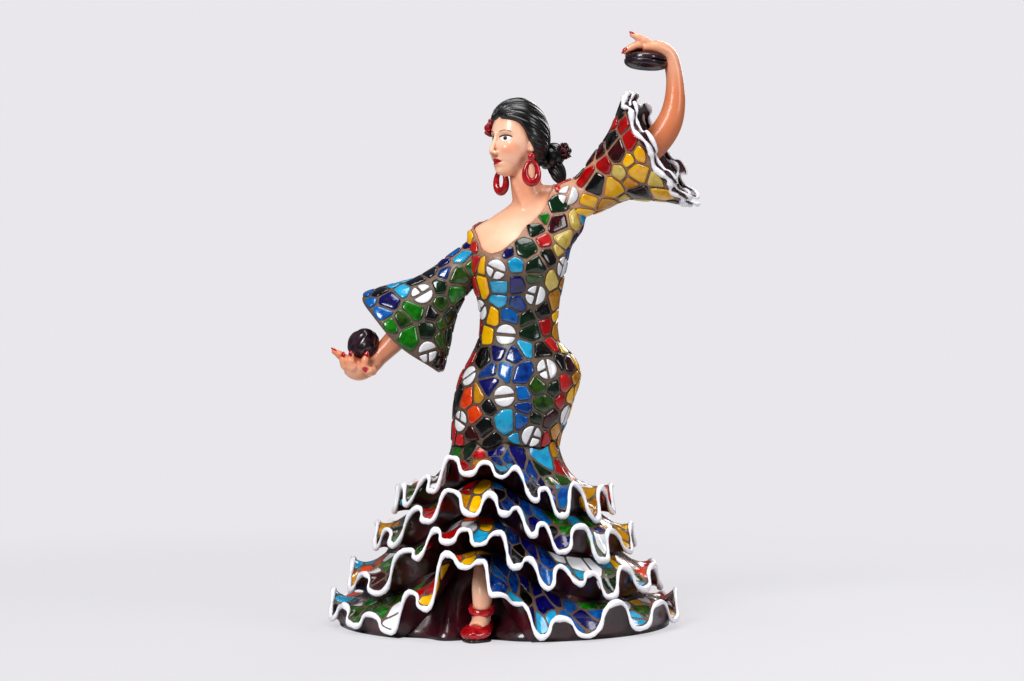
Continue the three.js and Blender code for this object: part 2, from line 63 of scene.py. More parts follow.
# lengths and heights below are in figurine millimetres about the dress axis
mm = 0.001
coreLow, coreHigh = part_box("underskirt")
coreRadius = (coreHigh[0] - coreLow[0]) / 2 / mm
axisAt = np.array([(coreLow[0] + coreHigh[0]) / 2, coreHigh[1] - coreRadius * mm, 0])
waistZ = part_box("dress_sheath")[0][2] / mm
random.seed(7)
picker = np.random.default_rng(11)


def toFrame(points):
    return np.asarray(points, float) * mm + axisAt


def between(rows, share):
    # values between the rows of a table, on a smooth curve through them
    rows = np.asarray(rows, float)
    at = np.clip(share, 0, 1) * (len(rows) - 1)
    i = np.minimum(np.floor(at).astype(int), len(rows) - 2)
    t = (at - i)[..., None]
    p0, p1 = rows[np.maximum(i - 1, 0)], rows[i]
    p2, p3 = rows[i + 1], rows[np.minimum(i + 2, len(rows) - 1)]
    bend = (2 * p0 - 5 * p1 + 4 * p2 - p3) * t + (3 * p1 - p0 - 3 * p2 + p3) * t * t
    return p1 + 0.5 * t * (p2 - p0 + bend)


def alongRows(rows, key):
    # the same smooth curve, but read at a value of the first column
    rows = np.asarray(rows, float)
    share = np.interp(key, rows[:, 0], np.linspace(0, 1, len(rows)))
    return between(rows, share)


def bump(away, width):
    return np.exp(-((np.asarray(away) / width) ** 2))


def smooth(low, high, value):
    t = np.clip((np.asarray(value, float) - low) / (high - low), 0, 1)
    return t * t * (3 - 2 * t)


def wrapDegrees(angle):
    return (np.asarray(angle, float) + 180) % 360 - 180


def unit(vector):
    return vector / np.linalg.norm(vector)


def turnRound(count):
    # evenly spaced angles, once round
    return np.linspace(0, 2 * math.pi, count, endpoint=False)


def joined(parts):
    # several points-and-faces pairs as one
    points, faces = [], []
    for some, rest in parts:
        offset = sum(len(part) for part in points)
        faces += [[index + offset for index in face] for face in rest]
        points.append(some)
    return np.concatenate(points), faces


class Wire:
    def __init__(self, maker, socket):
        self.maker = maker
        self.socket = socket

    def math(self, operation, first, second=None):
        sockets = {0: first} if second is None else {0: first, 1: second}
        return self.maker.node("ShaderNodeMath", {"operation": operation}, sockets)

    def __add__(self, other):
        return self.math("ADD", self, other)

    def __sub__(self, other):
        return self.math("SUBTRACT", self, other)

    def __mul__(self, other):
        return self.math("MULTIPLY", self, other)

    def __truediv__(self, other):
        return self.math("DIVIDE", self, other)

    def __rsub__(self, other):
        return self.math("SUBTRACT", other, self)

    def __pow__(self, other):
        return self.math("POWER", self, other)

    def __neg__(self):
        return self.math("MULTIPLY", self, -1.0)

    def __abs__(self):
        return self.math("ABSOLUTE", self)

    def most(self, other):
        return self.math("MAXIMUM", self, other)

    def ramp(self, low, high):
        # 0 below low and 1 above high, eased
        sockets = {"Value": self, "From Min": low, "From Max": high}
        return self.maker.node("ShaderNodeMapRange", {"interpolation_type": "SMOOTHSTEP"}, sockets)

    __radd__ = __add__
    __rmul__ = __mul__


def paint(red, green, blue):
    def linear(value):
        value /= 255
        return value / 12.92 if value < 0.04045 else ((value + 0.055) / 1.055) ** 2.4

    return (linear(red), linear(green), linear(blue), 1)


class Finish:
    def __init__(self, name):
        self.material = bpy.data.materials.new(name)
        self.material.use_nodes = True
        self.tree = self.material.node_tree
        self.tree.nodes.clear()

    def node(self, kind, settings=None, sockets=None, out=0):
        made = self.tree.nodes.new(kind)
        for name, value in (settings or {}).items():
            setattr(made, name, value)
        for name, value in (sockets or {}).items():
            if isinstance(value, Wire):
                self.tree.links.new(value.socket, made.inputs[name])
            else:
                made.inputs[name].default_value = value
        return Wire(self, made.outputs[out]) if made.outputs else None

    def mix(self, factor, first, second, blend="MIX"):
        settings = {"data_type": "RGBA", "blend_type": blend}
        return self.node("ShaderNodeMix", settings, {0: factor, 6: first, 7: second}, 2)

    def place(self):
        # the point in figurine millimetres about the dress axis
        coordinates = self.node("ShaderNodeTexCoord", out=3)
        sockets = {"Vector": coordinates, "Location": [-v / mm for v in axisAt], "Scale": [1 / mm] * 3}
        return self.node("ShaderNodeMapping", None, sockets)

    def noise(self, scale, detail=3, roughness=0.5, vector=None):
        sockets = {"Scale": scale, "Detail": detail, "Roughness": roughness, "Vector": vector or self.place()}
        return self.node("ShaderNodeTexNoise", None, sockets)

    def parts(self, vector):
        made = self.node("ShaderNodeSeparateXYZ", None, {0: vector})
        return [Wire(self, socket) for socket in made.socket.node.outputs]

    def attribute(self, name, out=0):
        return self.node("ShaderNodeAttribute", {"attribute_name": name}, None, out)

    def bumpFrom(self, height, strength, distance=0.0002, normal=None):
        sockets = {"Height": height, "Strength": strength, "Distance": distance}
        if normal:
            sockets["Normal"] = normal
        return self.node("ShaderNodeBump", None, sockets)

    def surface(self, colour, roughness, normal=None, fixed=None):
        sockets = {"Base Color": colour, "Roughness": roughness}
        if normal:
            sockets["Normal"] = normal
        shader = self.node("ShaderNodeBsdfPrincipled", None, {**sockets, **(fixed or {})})
        self.node("ShaderNodeOutputMaterial", None, {"Surface": shader})
        return self.material


varnish = {"Coat Weight": 0.6, "Coat Roughness": 0.05, "Specular IOR Level": 0.35}
hairGloss = {"Coat Weight": 0.4, "Coat Roughness": 0.12, "Specular IOR Level": 0.35}
skinGloss = {"Coat Weight": 0.3, "Coat Roughness": 0.14, "Specular IOR Level": 0.3}
satin = {"Coat Weight": 0.25, "Coat Roughness": 0.2, "Specular IOR Level": 0.45}


def makeTileFinish():
    finish = Finish("glazedTile")
    cloud = finish.noise(0.35, 2)
    fine = finish.noise(2.2, 3)
    colour = finish.attribute("tileColour")
    deep = finish.node("ShaderNodeGamma", None, {"Color": colour, "Gamma": 1.45})
    colour = finish.mix(cloud.ramp(0.42, 0.7), colour, deep)
    # painted shade together with a dark wash: each tile's side ring, where it meets the grout, is darkened to
    # near black-brown
    colour = finish.mix(finish.attribute("foot", 2) * 0.85, colour, paint(30, 20, 17))
    roughness = 0.1 + 0.14 * fine
    normal = finish.bumpFrom(finish.noise(0.9, 2), 0.35, 0.0003)
    return finish.surface(colour, roughness, normal, varnish)


def makeGroutFinish():
    # taupe grout, flesh pink round the shoulders, dark in the creases where it meets a tile: painted shade
    # together with a dark wash
    finish = Finish("grout")
    across, _, height = finish.parts(finish.place())
    warm = height.ramp(116.0, 152.0) * (1.0 - 0.6 * across.ramp(30.0, 46.0))
    grain = finish.noise(1.6, 4, 0.65)
    light = finish.mix(warm, paint(104, 82, 64), paint(216, 160, 126))
    dark = finish.mix(warm, paint(20, 12, 9), paint(84, 44, 28))
    # painted shade with a dark wash: ambient occlusion darkens the grout beside the tiles, varied at random
    # by the grain
    openness = finish.node("ShaderNodeAmbientOcclusion", {"samples": 6}, {"Distance": 0.0013}, 1)
    shade = openness.ramp(0.54, 1.0) * (0.4 + 0.8 * grain)
    colour = finish.mix(shade, dark, light)
    normal = finish.bumpFrom(finish.noise(1.1, 5, 0.6), 0.8, 0.0005)
    return finish.surface(colour, 0.3 + 0.25 * grain, normal, satin)


def makeMaroonFinish():
    finish = Finish("maroonPaint")
    cloud = finish.noise(0.12, 4, 0.6)
    streak = finish.noise(0.7, 3)
    openness = finish.node("ShaderNodeAmbientOcclusion", {"samples": 6}, {"Distance": 0.004}, 1)
    colour = finish.mix(cloud.ramp(0.35, 0.7), paint(34, 5, 13), paint(68, 11, 24))
    # painted shade: ambient occlusion darkens the hollows under the flounces and in the folds nearly to black
    colour = finish.mix(openness.ramp(0.2, 0.8), paint(14, 4, 7), colour)
    normal = finish.bumpFrom(streak, 0.3, 0.0004)
    return finish.surface(colour, 0.22 + 0.2 * streak, normal, varnish)


def makeWhiteFinish():
    # brushed white edging, with the maroon showing thinly through in places
    finish = Finish("whiteEdge")
    brush = finish.noise(1.4, 4, 0.6)
    colour = finish.mix(brush.ramp(0.62, 0.8), paint(244, 243, 250), paint(186, 172, 190))
    normal = finish.bumpFrom(finish.noise(1.0, 3), 0.5, 0.0004)
    return finish.surface(colour, 0.24 + 0.2 * brush, normal, satin)


def skinColour(finish):
    cloud = finish.noise(0.09, 3)
    openness = finish.node("ShaderNodeAmbientOcclusion", {"samples": 6}, {"Distance": 0.004}, 1)
    colour = finish.mix(cloud.ramp(0.3, 0.7), paint(246, 182, 146), paint(252, 200, 170))
    # the arms are sprayed deeper than the face and the chest, and the hands less, so that they stay paler,
    # partly as a painted highlight; a band round the neck under the jaw is darkened to the same tone as
    # painted shade
    across, _, height = finish.parts(finish.place())
    underJawShade = height.ramp(146.0, 153.0) * (1.0 - height.ramp(155.0, 161.0))
    palms = (1.0 - height.ramp(90.0, 98.0)).most(height.ramp(186.0, 203.0))
    reach = abs(across + 1.0).ramp(26.0, 46.0) * (0.9 - 0.55 * palms)
    colour = finish.mix(reach.most(underJawShade * 0.5), colour, paint(216, 116, 68))
    # painted shade: ambient occlusion darkens hollows, creases and the arms under the sleeves to a deep
    # orange-brown
    return finish.mix(openness.ramp(0.3, 0.95), paint(172, 70, 36), colour)


def makeSkinFinish():
    finish = Finish("skinPaint")
    fine = finish.noise(1.3, 3)
    normal = finish.bumpFrom(fine, 0.12, 0.0002)
    return finish.surface(skinColour(finish), 0.3 + 0.12 * fine, normal, skinGloss)


def makeEnamelFinish(name, deep, bright, ground=0.13):
    finish = Finish(name)
    cloud = finish.noise(0.5, 3)
    fine = finish.noise(2.0, 3)
    colour = finish.mix(cloud.ramp(0.35, 0.68), deep, bright)
    normal = finish.bumpFrom(finish.noise(0.8, 3), 0.3, 0.0003)
    return finish.surface(colour, ground + 0.14 * fine, normal, varnish)


def makeHairFinish():
    finish = Finish("hairPaint")
    fine = finish.noise(1.8, 4)
    ridge = finish.attribute("ridge", 2)
    # painted highlight: the crests of the combed strands, where the ridge mark is high, are painted a lighter
    # grey-black
    colour = finish.mix(ridge * fine.ramp(0.3, 0.8), paint(4, 3, 5), paint(16, 15, 20))
    normal = finish.bumpFrom(fine, 0.25, 0.0002)
    return finish.surface(colour, 0.22 + 0.16 * fine, normal, hairGloss)


finishes = {
    "tile": makeTileFinish(),
    "grout": makeGroutFinish(),
    "maroon": makeMaroonFinish(),
    "white": makeWhiteFinish(),
    "skin": makeSkinFinish(),
    "hair": makeHairFinish(),
    "red": makeEnamelFinish("redEnamel", paint(140, 6, 16), paint(196, 18, 30)),
    "nail": makeEnamelFinish("nailEnamel", paint(150, 6, 18), paint(196, 16, 32)),
    "flower": makeEnamelFinish("flowerPaint", paint(14, 6, 9), paint(92, 12, 24), 0.2),
    "castanet": makeEnamelFinish("castanetPaint", paint(26, 13, 21), paint(52, 30, 42), 0.16),
    "sole": makeEnamelFinish("solePaint", paint(16, 9, 10), paint(38, 22, 22), 0.4),
}
print("finishes ready")


def makeObject(name, points, faces, materials=(), faceMaterials=None, shadeSmooth=True):
    mesh = bpy.data.meshes.new(name)
    mesh.from_pydata(toFrame(points).tolist(), [], [list(map(int, face)) for face in faces])
    for material in materials:
        mesh.materials.append(finishes[material])
    if faceMaterials is not None:
        mesh.polygons.foreach_set("material_index", np.asarray(faceMaterials, dtype=np.int32))
    mesh.polygons.foreach_set("use_smooth", [shadeSmooth] * len(mesh.polygons))
    mesh.update()
    made = bpy.data.objects.new(name, mesh)
    bpy.context.scene.collection.objects.link(made)
    return made


def gridFaces(rowCount, columnCount, closedRows=False, closedColumns=True):
    # quads of a grid whose points run column by column along each row
    i = np.arange(rowCount if closedRows else rowCount - 1)
    j = np.arange(columnCount if closedColumns else columnCount - 1)
    i, j = (part.ravel() for part in np.meshgrid(i, j, indexing="ij"))
    nextRow, nextColumn = (i + 1) % rowCount, (j + 1) % columnCount
    a = i * columnCount + j
    b = i * columnCount + nextColumn
    c = nextRow * columnCount + nextColumn
    d = nextRow * columnCount + j
    return np.stack([a, b, c, d], 1)


def faceOut(made):
    # merges doubles and turns every face outwards
    sheet = bmesh.new()
    sheet.from_mesh(made.data)
    bmesh.ops.remove_doubles(sheet, verts=sheet.verts, dist=1e-6)
    bmesh.ops.recalc_face_normals(sheet, faces=sheet.faces)
    sheet.to_mesh(made.data)
    sheet.free()
    return made


def applyModifiers(made):
    bpy.context.view_layer.update()
    view = made.evaluated_get(bpy.context.evaluated_depsgraph_get())
    plain = bpy.data.meshes.new_from_object(view)
    made.modifiers.clear()
    old = made.data
    made.data = plain
    bpy.data.meshes.remove(old)
    return made


def markPoints(made, name, values):
    values = np.asarray(values, np.float32)
    made.data.attributes.new(name, "FLOAT", "POINT").data.foreach_set("value", values)


def finishPiece(made, slot, *nodes):
    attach(made, "root")
    if nodes:
        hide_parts(*nodes)
    return made


def tubeGrid(rows, steps, sides, grow=0.0, start=0.0, stop=1.0, depthNear=(0, 1, 0)):
    # rings of points about a smooth middle line, the section's depth kept near one direction
    share = np.linspace(start, stop, steps + 1)
    row = between(rows, share)
    along = between(rows, share + 0.01)[:, :3] - between(rows, share - 0.01)[:, :3]
    along /= np.linalg.norm(along, axis=1)[:, None]
    across = np.cross(depthNear, along)
    across /= np.linalg.norm(across, axis=1)[:, None]
    depth = np.cross(along, across)
    half = row[:, 3] + grow
    halfDepth = (row[:, 4] if row.shape[1] > 4 else row[:, 3]) + grow
    angle = turnRound(sides)
    ring = across[:, None] * (half[:, None] * np.cos(angle))[..., None]
    ring = ring + depth[:, None] * (halfDepth[:, None] * np.sin(angle))[..., None]
    return row[:, None, :3] + ring


def cappedGrid(grid):
    # a grid of rings closed with a point at each end
    rows, sides = grid.shape[:2]
    points = np.concatenate([grid.reshape(-1, 3), grid[:1].mean(1), grid[-1:].mean(1)])
    faces = gridFaces(rows, sides).tolist()
    first, last = rows * sides, rows * sides + 1
    for j in range(sides):
        k = (j + 1) % sides
        faces.append([first, k, j])
        faces.append([last, (rows - 1) * sides + j, (rows - 1) * sides + k])
    return points, faces


def ballGrid(at, half, turn=None, sides=24, rows=14):
    # an ellipsoid; turn is three unit directions for its half sizes
    tilt = np.linspace(0.001, math.pi - 0.001, rows)
    around = turnRound(sides)
    sphere = np.stack(
        [
            np.sin(tilt)[:, None] * np.cos(around),
            np.sin(tilt)[:, None] * np.sin(around),
            np.repeat(np.cos(tilt)[:, None], sides, 1),
        ],
        2,
    )
    axes = np.eye(3) if turn is None else np.asarray(turn, float)
    return np.asarray(at, float) + (sphere * np.asarray(half, float)) @ axes


def melted(name, grids, voxel, rounds, material):
    # overlapping capped forms melted into one skin, then smoothed
    points, faces = joined(cappedGrid(grid) for grid in grids)
    made = faceOut(makeObject(name, points, faces, [material]))
    remesh = made.modifiers.new("melt", "REMESH")
    remesh.mode = "VOXEL"
    remesh.voxel_size = voxel * mm
    remesh.use_smooth_shade = True
    soften = made.modifiers.new("soften", "SMOOTH")
    soften.factor = 0.5
    soften.iterations = rounds
    made = applyModifiers(made)
    made.data.materials.clear()
    made.data.materials.append(finishes[material])
    return made


def newTree(name, inputs):
    tree = bpy.data.node_groups.new(name, "GeometryNodeTree")
    tree.interface.new_socket("Geometry", in_out="INPUT", socket_type="NodeSocketGeometry")
    for label, kind, value in inputs:
        socket = tree.interface.new_socket(label, in_out="INPUT", socket_type=kind)
        if value is not None:
            socket.default_value = value
    tree.interface.new_socket("Geometry", in_out="OUTPUT", socket_type="NodeSocketGeometry")
    return tree, tree.nodes.new("NodeGroupInput"), tree.nodes.new("NodeGroupOutput")


def addNode(tree, kind, settings=None, sockets=None):
    made = tree.nodes.new(kind)
    for name, value in (settings or {}).items():
        setattr(made, name, value)
    for name, value in (sockets or {}).items():
        if isinstance(value, bpy.types.NodeSocket):
            tree.links.new(value, made.inputs[name])
        else:
            made.inputs[name].default_value = value
    return made


def growWith(made, tree, values):
    # runs a tree on a piece and keeps the result as a plain mesh
    modifier = made.modifiers.new(tree.name, "NODES")
    modifier.node_group = tree
    for item in tree.interface.items_tree:
        if item.in_out == "INPUT" and item.name in values:
            modifier[item.identifier] = values[item.name]
    return applyModifiers(made)


def makeTileTree():
    # swells flat cells along their own normals into pillowed tiles, and closes their backs
    inputs = [("Raise", "NodeSocketFloat", 0.0006), ("Material", "NodeSocketMaterial", None)]
    tree, given, result = newTree("pillowTiles", inputs)
    height = addNode(tree, "GeometryNodeInputNamedAttribute", {"data_type": "FLOAT"}, {"Name": "height"})
    sockets = {0: given.outputs["Raise"], 1: height.outputs["Attribute"]}
    lift = addNode(tree, "ShaderNodeMath", {"operation": "MULTIPLY"}, sockets)
    normal = addNode(tree, "GeometryNodeInputNormal")
    sockets = {0: normal.outputs[0], "Scale": lift.outputs[0]}
    offset = addNode(tree, "ShaderNodeVectorMath", {"operation": "SCALE"}, sockets)
    sockets = {"Geometry": given.outputs["Geometry"], "Offset": offset.outputs[0]}
    front = addNode(tree, "GeometryNodeSetPosition", None, sockets)
    back = addNode(tree, "GeometryNodeFlipFaces", None, {0: given.outputs["Geometry"]})
    both = addNode(tree, "GeometryNodeJoinGeometry")
    tree.links.new(back.outputs[0], both.inputs[0])
    tree.links.new(front.outputs[0], both.inputs[0])
    sockets = {"Geometry": both.outputs[0], "Distance": 1e-7}
    merged = addNode(tree, "GeometryNodeMergeByDistance", None, sockets)
    soft = addNode(tree, "GeometryNodeSetShadeSmooth", None, {"Geometry": merged.outputs[0]})
    real = addNode(tree, "GeometryNodeRealizeInstances", None, {"Geometry": soft.outputs[0]})
    sockets = {"Geometry": real.outputs[0], "Material": given.outputs["Material"]}
    dressed = addNode(tree, "GeometryNodeSetMaterial", None, sockets)
    tree.links.new(dressed.outputs[0], result.inputs[0])
    return tree


def makeTrimTree():
    # sweeps a round section along an edge line, a little thicker and thinner as a brush leaves it
    inputs = [
        ("Radius", "NodeSocketFloat", 0.0009),
        ("Unevenness", "NodeSocketFloat", 1.9),
        ("Material", "NodeSocketMaterial", None),
    ]
    tree, given, result = newTree("brushedTrim", inputs)
    line = addNode(tree, "GeometryNodeMeshToCurve", None, {"Mesh": given.outputs["Geometry"]})
    grain = addNode(tree, "ShaderNodeTexNoise", None, {"Scale": 260.0, "Detail": 2.0})
    level = addNode(tree, "ShaderNodeMath", {"operation": "SUBTRACT"}, {0: grain.outputs[0], 1: 0.5})
    sockets = {0: level.outputs[0], 1: given.outputs["Unevenness"]}
    wave = addNode(tree, "ShaderNodeMath", {"operation": "MULTIPLY"}, sockets)
    level = addNode(tree, "ShaderNodeMath", {"operation": "ADD"}, {0: wave.outputs[0], 1: 1.0})
    thickness = addNode(tree, "GeometryNodeInputNamedAttribute", {"data_type": "FLOAT"}, {"Name": "thick"})
    sockets = {0: level.outputs[0], 1: thickness.outputs["Attribute"]}
    size = addNode(tree, "ShaderNodeMath", {"operation": "MULTIPLY"}, sockets)
    section = addNode(tree, "GeometryNodeCurvePrimitiveCircle", None, {"Resolution": 8})
    tree.links.new(given.outputs["Radius"], section.inputs["Radius"])
    sockets = {"Curve": line.outputs[0], "Profile Curve": section.outputs[0], "Scale": size.outputs[0]}
    swept = addNode(tree, "GeometryNodeCurveToMesh", None, {**sockets, "Fill Caps": True})
    soft = addNode(tree, "GeometryNodeSetShadeSmooth", None, {"Geometry": swept.outputs[0]})
    real = addNode(tree, "GeometryNodeRealizeInstances", None, {"Geometry": soft.outputs[0]})
    sockets = {"Geometry": real.outputs[0], "Material": given.outputs["Material"]}
    dressed = addNode(tree, "GeometryNodeSetMaterial", None, sockets)
    tree.links.new(dressed.outputs[0], result.inputs[0])
    return tree


tileTree = makeTileTree()
trimTree = makeTrimTree()


def trimAlong(name, points, radius, thick):
    # a closed white line, thick holds its share of the radius at each point
    count = len(points)
    mesh = bpy.data.meshes.new(name)
    edges = [(i, (i + 1) % count) for i in range(count)]
    mesh.from_pydata(toFrame(points).tolist(), edges, [])
    made = bpy.data.objects.new(name, mesh)
    bpy.context.scene.collection.objects.link(made)
    markPoints(made, "thick", thick)
    return growWith(made, trimTree, {"Radius": radius * mm, "Material": finishes["white"]})


tilePaint = {
    "white": paint(246, 246, 250),
    "cyan": paint(60, 186, 222),
    "sky": paint(6, 122, 190),
    "blue": paint(0, 84, 156),
    "navy": paint(10, 16, 122),
    "black": paint(14, 14, 18),
    "slate": paint(30, 40, 62),
    "grass": paint(34, 140, 12),
    "olive": paint(70, 106, 36),
    "pine": paint(8, 62, 34),
    "yellow": paint(255, 208, 0),
    "gold": paint(214, 162, 8),
    "cream": paint(232, 212, 128),
    "red": paint(200, 14, 26),
    "coral": paint(214, 58, 56),
    "wine": paint(88, 14, 30),
    "orange": paint(238, 98, 16),
    "mauve": paint(140, 92, 128),
}
mosaic = {
    "spacing": 5.9,  # least distance between tile middles
    "groutWidth": 0.8,
    "corner": 0.8,
    "uneven": 0.55,  # how far a shared side shifts towards the smaller tile
    "raise": 0.6,
    # from a tile's rim to its middle: how far in each ring lies, and its share of the full height
    "rings": [(1.0, 0.0), (0.985, 0.5), (0.93, 0.82), (0.76, 1.0), (0.4, 1.05)],
    "sunk": 0.06,
    "discRadius": 3.8,
    "crack": 0.75,
    "edgeMargin": 0.6,
    "deepen": 1.32,  # how much darker than its paint a coloured tile is fired
    "shades": (0.76, 0.97),  # lightness from the darkest tile of a colour to the palest
    "leastArea": (2.2, 3.0),  # smaller cells are left as grout: on the dress, and on the folds
}


def clipCell(cell, direction, limit):
    # keeps the part of a flat outline that lies below limit along a direction
    kept = []
    count = len(cell)
    for i in range(count):
        here, there = cell[i], cell[(i + 1) % count]
        a = here @ direction - limit
        b = there @ direction - limit
        if a <= 0:
            kept.append(here)
        if (a < 0 < b) or (b < 0 < a):
            kept.append(here + (there - here) * (a / (a - b)))
    return kept


def roundCell(cell):
    # drops very short sides, then turns each corner with three points
    cell = [p for i, p in enumerate(cell) if np.linalg.norm(p - cell[i - 1]) > 0.5]
    rounded = []
    for i, here in enumerate(cell):
        ends = []
        for other in (cell[i - 1], cell[(i + 1) % len(cell)]):
            away = other - here
            far = np.linalg.norm(away)
            ends.append(here + away / max(far, 1e-6) * min(mosaic["corner"], far * 0.4))
        rounded += [ends[0], (ends[0] + ends[1]) * 0.22 + here * 0.56, ends[1]]
    return rounded


def areaOf(cell):
    x, y = np.array(cell).T
    return 0.5 * abs(np.dot(x, np.roll(y, -1)) - np.dot(y, np.roll(x, -1)))


def squareCell(size):
    return [np.array([x, y]) for x, y in ((-size, -size), (size, -size), (size, size), (-size, size))]


def flatAxes(normal):
    # two directions that lie in the flat across a normal
    first = unit(np.cross(normal, [0.31, 0.2, 0.93]))
    return first, np.cross(normal, first)


class MosaicField:
    # a surface that takes tiles: seeds are spread on it, cells cut between them and laid back on it
    def __init__(self, points, faces, spacing=None):
        self.points = np.asarray(points, float)
        self.faces = np.asarray(faces)
        self.tree = BVHTree.FromPolygons(self.points.tolist(), self.faces.tolist())
        self.spacing = spacing or mosaic["spacing"]
        self.edge = np.zeros((0, 3))
        self.discs = np.zeros((0, 3))

    def nearest(self, point):
        place, normal, _, _ = self.tree.find_nearest(Vector(point))
        return np.array(place), np.array(normal)

    def spread(self, allowed):
        # random points over the faces, kept when far enough from the ones before
        corners = self.points[self.faces]
        first = np.cross(corners[:, 1] - corners[:, 0], corners[:, 2] - corners[:, 0])
        second = np.cross(corners[:, 2] - corners[:, 0], corners[:, 3] - corners[:, 0])
        area = 0.5 * (np.linalg.norm(first, axis=1) + np.linalg.norm(second, axis=1))
        total = int(area.sum() / self.spacing**2 * 60)
        chosen = picker.choice(len(area), total, p=area / area.sum())
        u, v = picker.random((2, total, 1))
        c = corners[chosen]
        spots = (c[:, 0] * (1 - u) + c[:, 1] * u) * (1 - v) + (c[:, 3] * (1 - u) + c[:, 2] * u) * v
        spots = spots[allowed(spots)]
        seeds = np.zeros((0, 3))
        room = mosaic["discRadius"] + self.spacing * 0.34
        for spot in spots:
            if len(self.discs) and np.min(np.linalg.norm(self.discs - spot, axis=1)) < room:
                continue
            if len(self.edge) and np.min(np.linalg.norm(self.edge - spot, axis=1)) < 1.7:
                continue
            if len(seeds) and np.min(np.linalg.norm(seeds - spot, axis=1)) < self.spacing * 0.86:
                continue
            seeds = np.vstack([seeds, spot])
        return seeds

    def flat(self, seed, a, b, others):
        # where other points lie on the seed's own flat, at their true distance
        away = others - seed
        x, y = away @ a, away @ b
        true = np.linalg.norm(away, axis=1)
        seen = np.maximum(np.hypot(x, y), 1e-6)
        return np.stack([x * true / seen, y * true / seen], 1), true

    def ringed(self, cell):
        # an outline, smaller ones inside it and the middle
        cell = np.array(cell)
        middle = cell.mean(0)
        rings = [middle + (cell - middle) * share for share, _ in mosaic["rings"]]
        return np.concatenate(rings + [middle[None]])

    def lay(self, seed, a, b, cell):
        laid = []
        for x, y in self.ringed(cell):
            place, normal = self.nearest(seed + a * x + b * y)
            laid.append(place - normal * mosaic["sunk"])
        return laid

    def cells(self, seeds, colourOf):
        outlines, colours = [], []
        normals = np.array([self.nearest(seed)[1] for seed in seeds]) if len(seeds) else np.zeros((0, 3))
        weights = picker.uniform(-1, 1, len(seeds))
        for index, seed in enumerate(seeds):
            n = normals[index]
            a, b = flatAxes(n)
            cell = squareCell(self.spacing)
            twist = random.uniform(0, math.pi)
            turn = np.array([[math.cos(twist), -math.sin(twist)], [math.sin(twist), math.cos(twist)]])
            cell = [turn @ corner for corner in cell]
            near = (np.linalg.norm(seeds - seed, axis=1) < self.spacing * 2.6) & (normals @ n > -0.2)
            near[index] = False
            flat, true = self.flat(seed, a, b, seeds[near])
            shifts = (weights[index] - weights[near]) * mosaic["uneven"]
            joint = mosaic["groutWidth"] / 2
            limits = [(spot, far / 2 + shift - joint) for spot, far, shift in zip(flat, true, shifts)]
            if len(self.discs):
                flat, true = self.flat(seed, a, b, self.discs)
                room = mosaic["discRadius"] + mosaic["groutWidth"]
                limits += [(spot, far - room) for spot, far in zip(flat, true) if far < self.spacing * 3]
            if len(self.edge):
                flat, true = self.flat(seed, a, b, self.edge)
                limits += [(spot, far - mosaic["edgeMargin"]) for spot, far in zip(flat, true) if far < 7]
            for spot, limit in limits:
                length = np.linalg.norm(spot)
                if length > 1e-6 and cell:
                    cell = clipCell(cell, spot / length, limit)
            if len(cell) < 3:
                continue
            cell = roundCell(cell)
            if len(cell) < 6 or areaOf(cell) < mosaic["leastArea"][0]:
                continue
            outlines.append(self.lay(seed, a, b, cell))
            colours.append(colourOf(seed))
        for seed in self.discs:
            for cell in self.brokenDisc():
                outlines.append(self.lay(seed, *flatAxes(self.nearest(seed)[1]), cell))
                colours.append("white")
        return outlines, colours

    def brokenDisc(self):
        # a round tile cracked into two or three pieces
        radius = mosaic["discRadius"] - 0.1
        whole = [radius * np.array([math.cos(t), math.sin(t)]) for t in turnRound(26)]
        first = random.uniform(0, 2 * math.pi)
        crack = np.array([math.cos(first), math.sin(first)])
        gap = mosaic["crack"] / 2
        halves = [clipCell(whole, crack, -gap), clipCell(whole, -crack, -gap)]
        if random.random() < 0.75:
            second = first + random.uniform(1.2, 1.9)
            cross = np.array([math.cos(second), math.sin(second)])
            halves = [clipCell(halves[0], cross, -gap), clipCell(halves[0], -cross, -gap), halves[1]]
        return [roundCell(half) for half in halves if len(half) > 2 and areaOf(half) > 2]

    def build(self, name, allowed, colourOf):
        seeds = self.spread(allowed)
        outlines, colours = self.cells(seeds, colourOf)
        rings = mosaic["rings"]
        points, faces, values, feet, heights = [], [], [], [], []
        for outline, colour in zip(outlines, colours):
            count = len(outline) // len(rings)
            base = np.array(tilePaint[colour])
            deepen = 1.0 if colour == "white" else mosaic["deepen"]
            base[:3] = base[:3] ** deepen * random.uniform(*mosaic["shades"])
            base = np.clip(base, 0, 1)
            spokes = np.array(outline[:count]) - outline[-1]
            winding = np.cross(spokes, np.roll(spokes, -1, 0)).sum(0)
            order = 1 if winding @ self.nearest(outline[-1])[1] > 0 else -1
            for i in range(count):
                j = (i + 1) % count
                strip = []
                for k in range(len(rings) - 1):
                    near, far = k * count, (k + 1) * count
                    strip.append((near + i, near + j, far + j, far + i))
                strip.append((strip[-1][3], strip[-1][2], len(rings) * count))
                for k, face in enumerate(strip):
                    faces.append([len(points) + index for index in face[::order]])
                    values += list(base)
                    # the side ring of each tile is marked for the painted shade and dark wash at its foot
                    feet.append(float(k == 0))
            points += list(outline)
            heights += [high for _, high in rings for _ in range(count)] + [rings[-1][1]]
        made = makeObject(name, points, faces)
        shade = made.data.attributes.new("tileColour", "FLOAT_COLOR", "FACE")
        shade.data.foreach_set("color", values)
        made.data.attributes.new("foot", "FLOAT", "FACE").data.foreach_set("value", feet)
        markPoints(made, "height", heights)
        values = {"Raise": mosaic["raise"] * mm, "Material": finishes["tile"]}
        return growWith(made, tileTree, values)


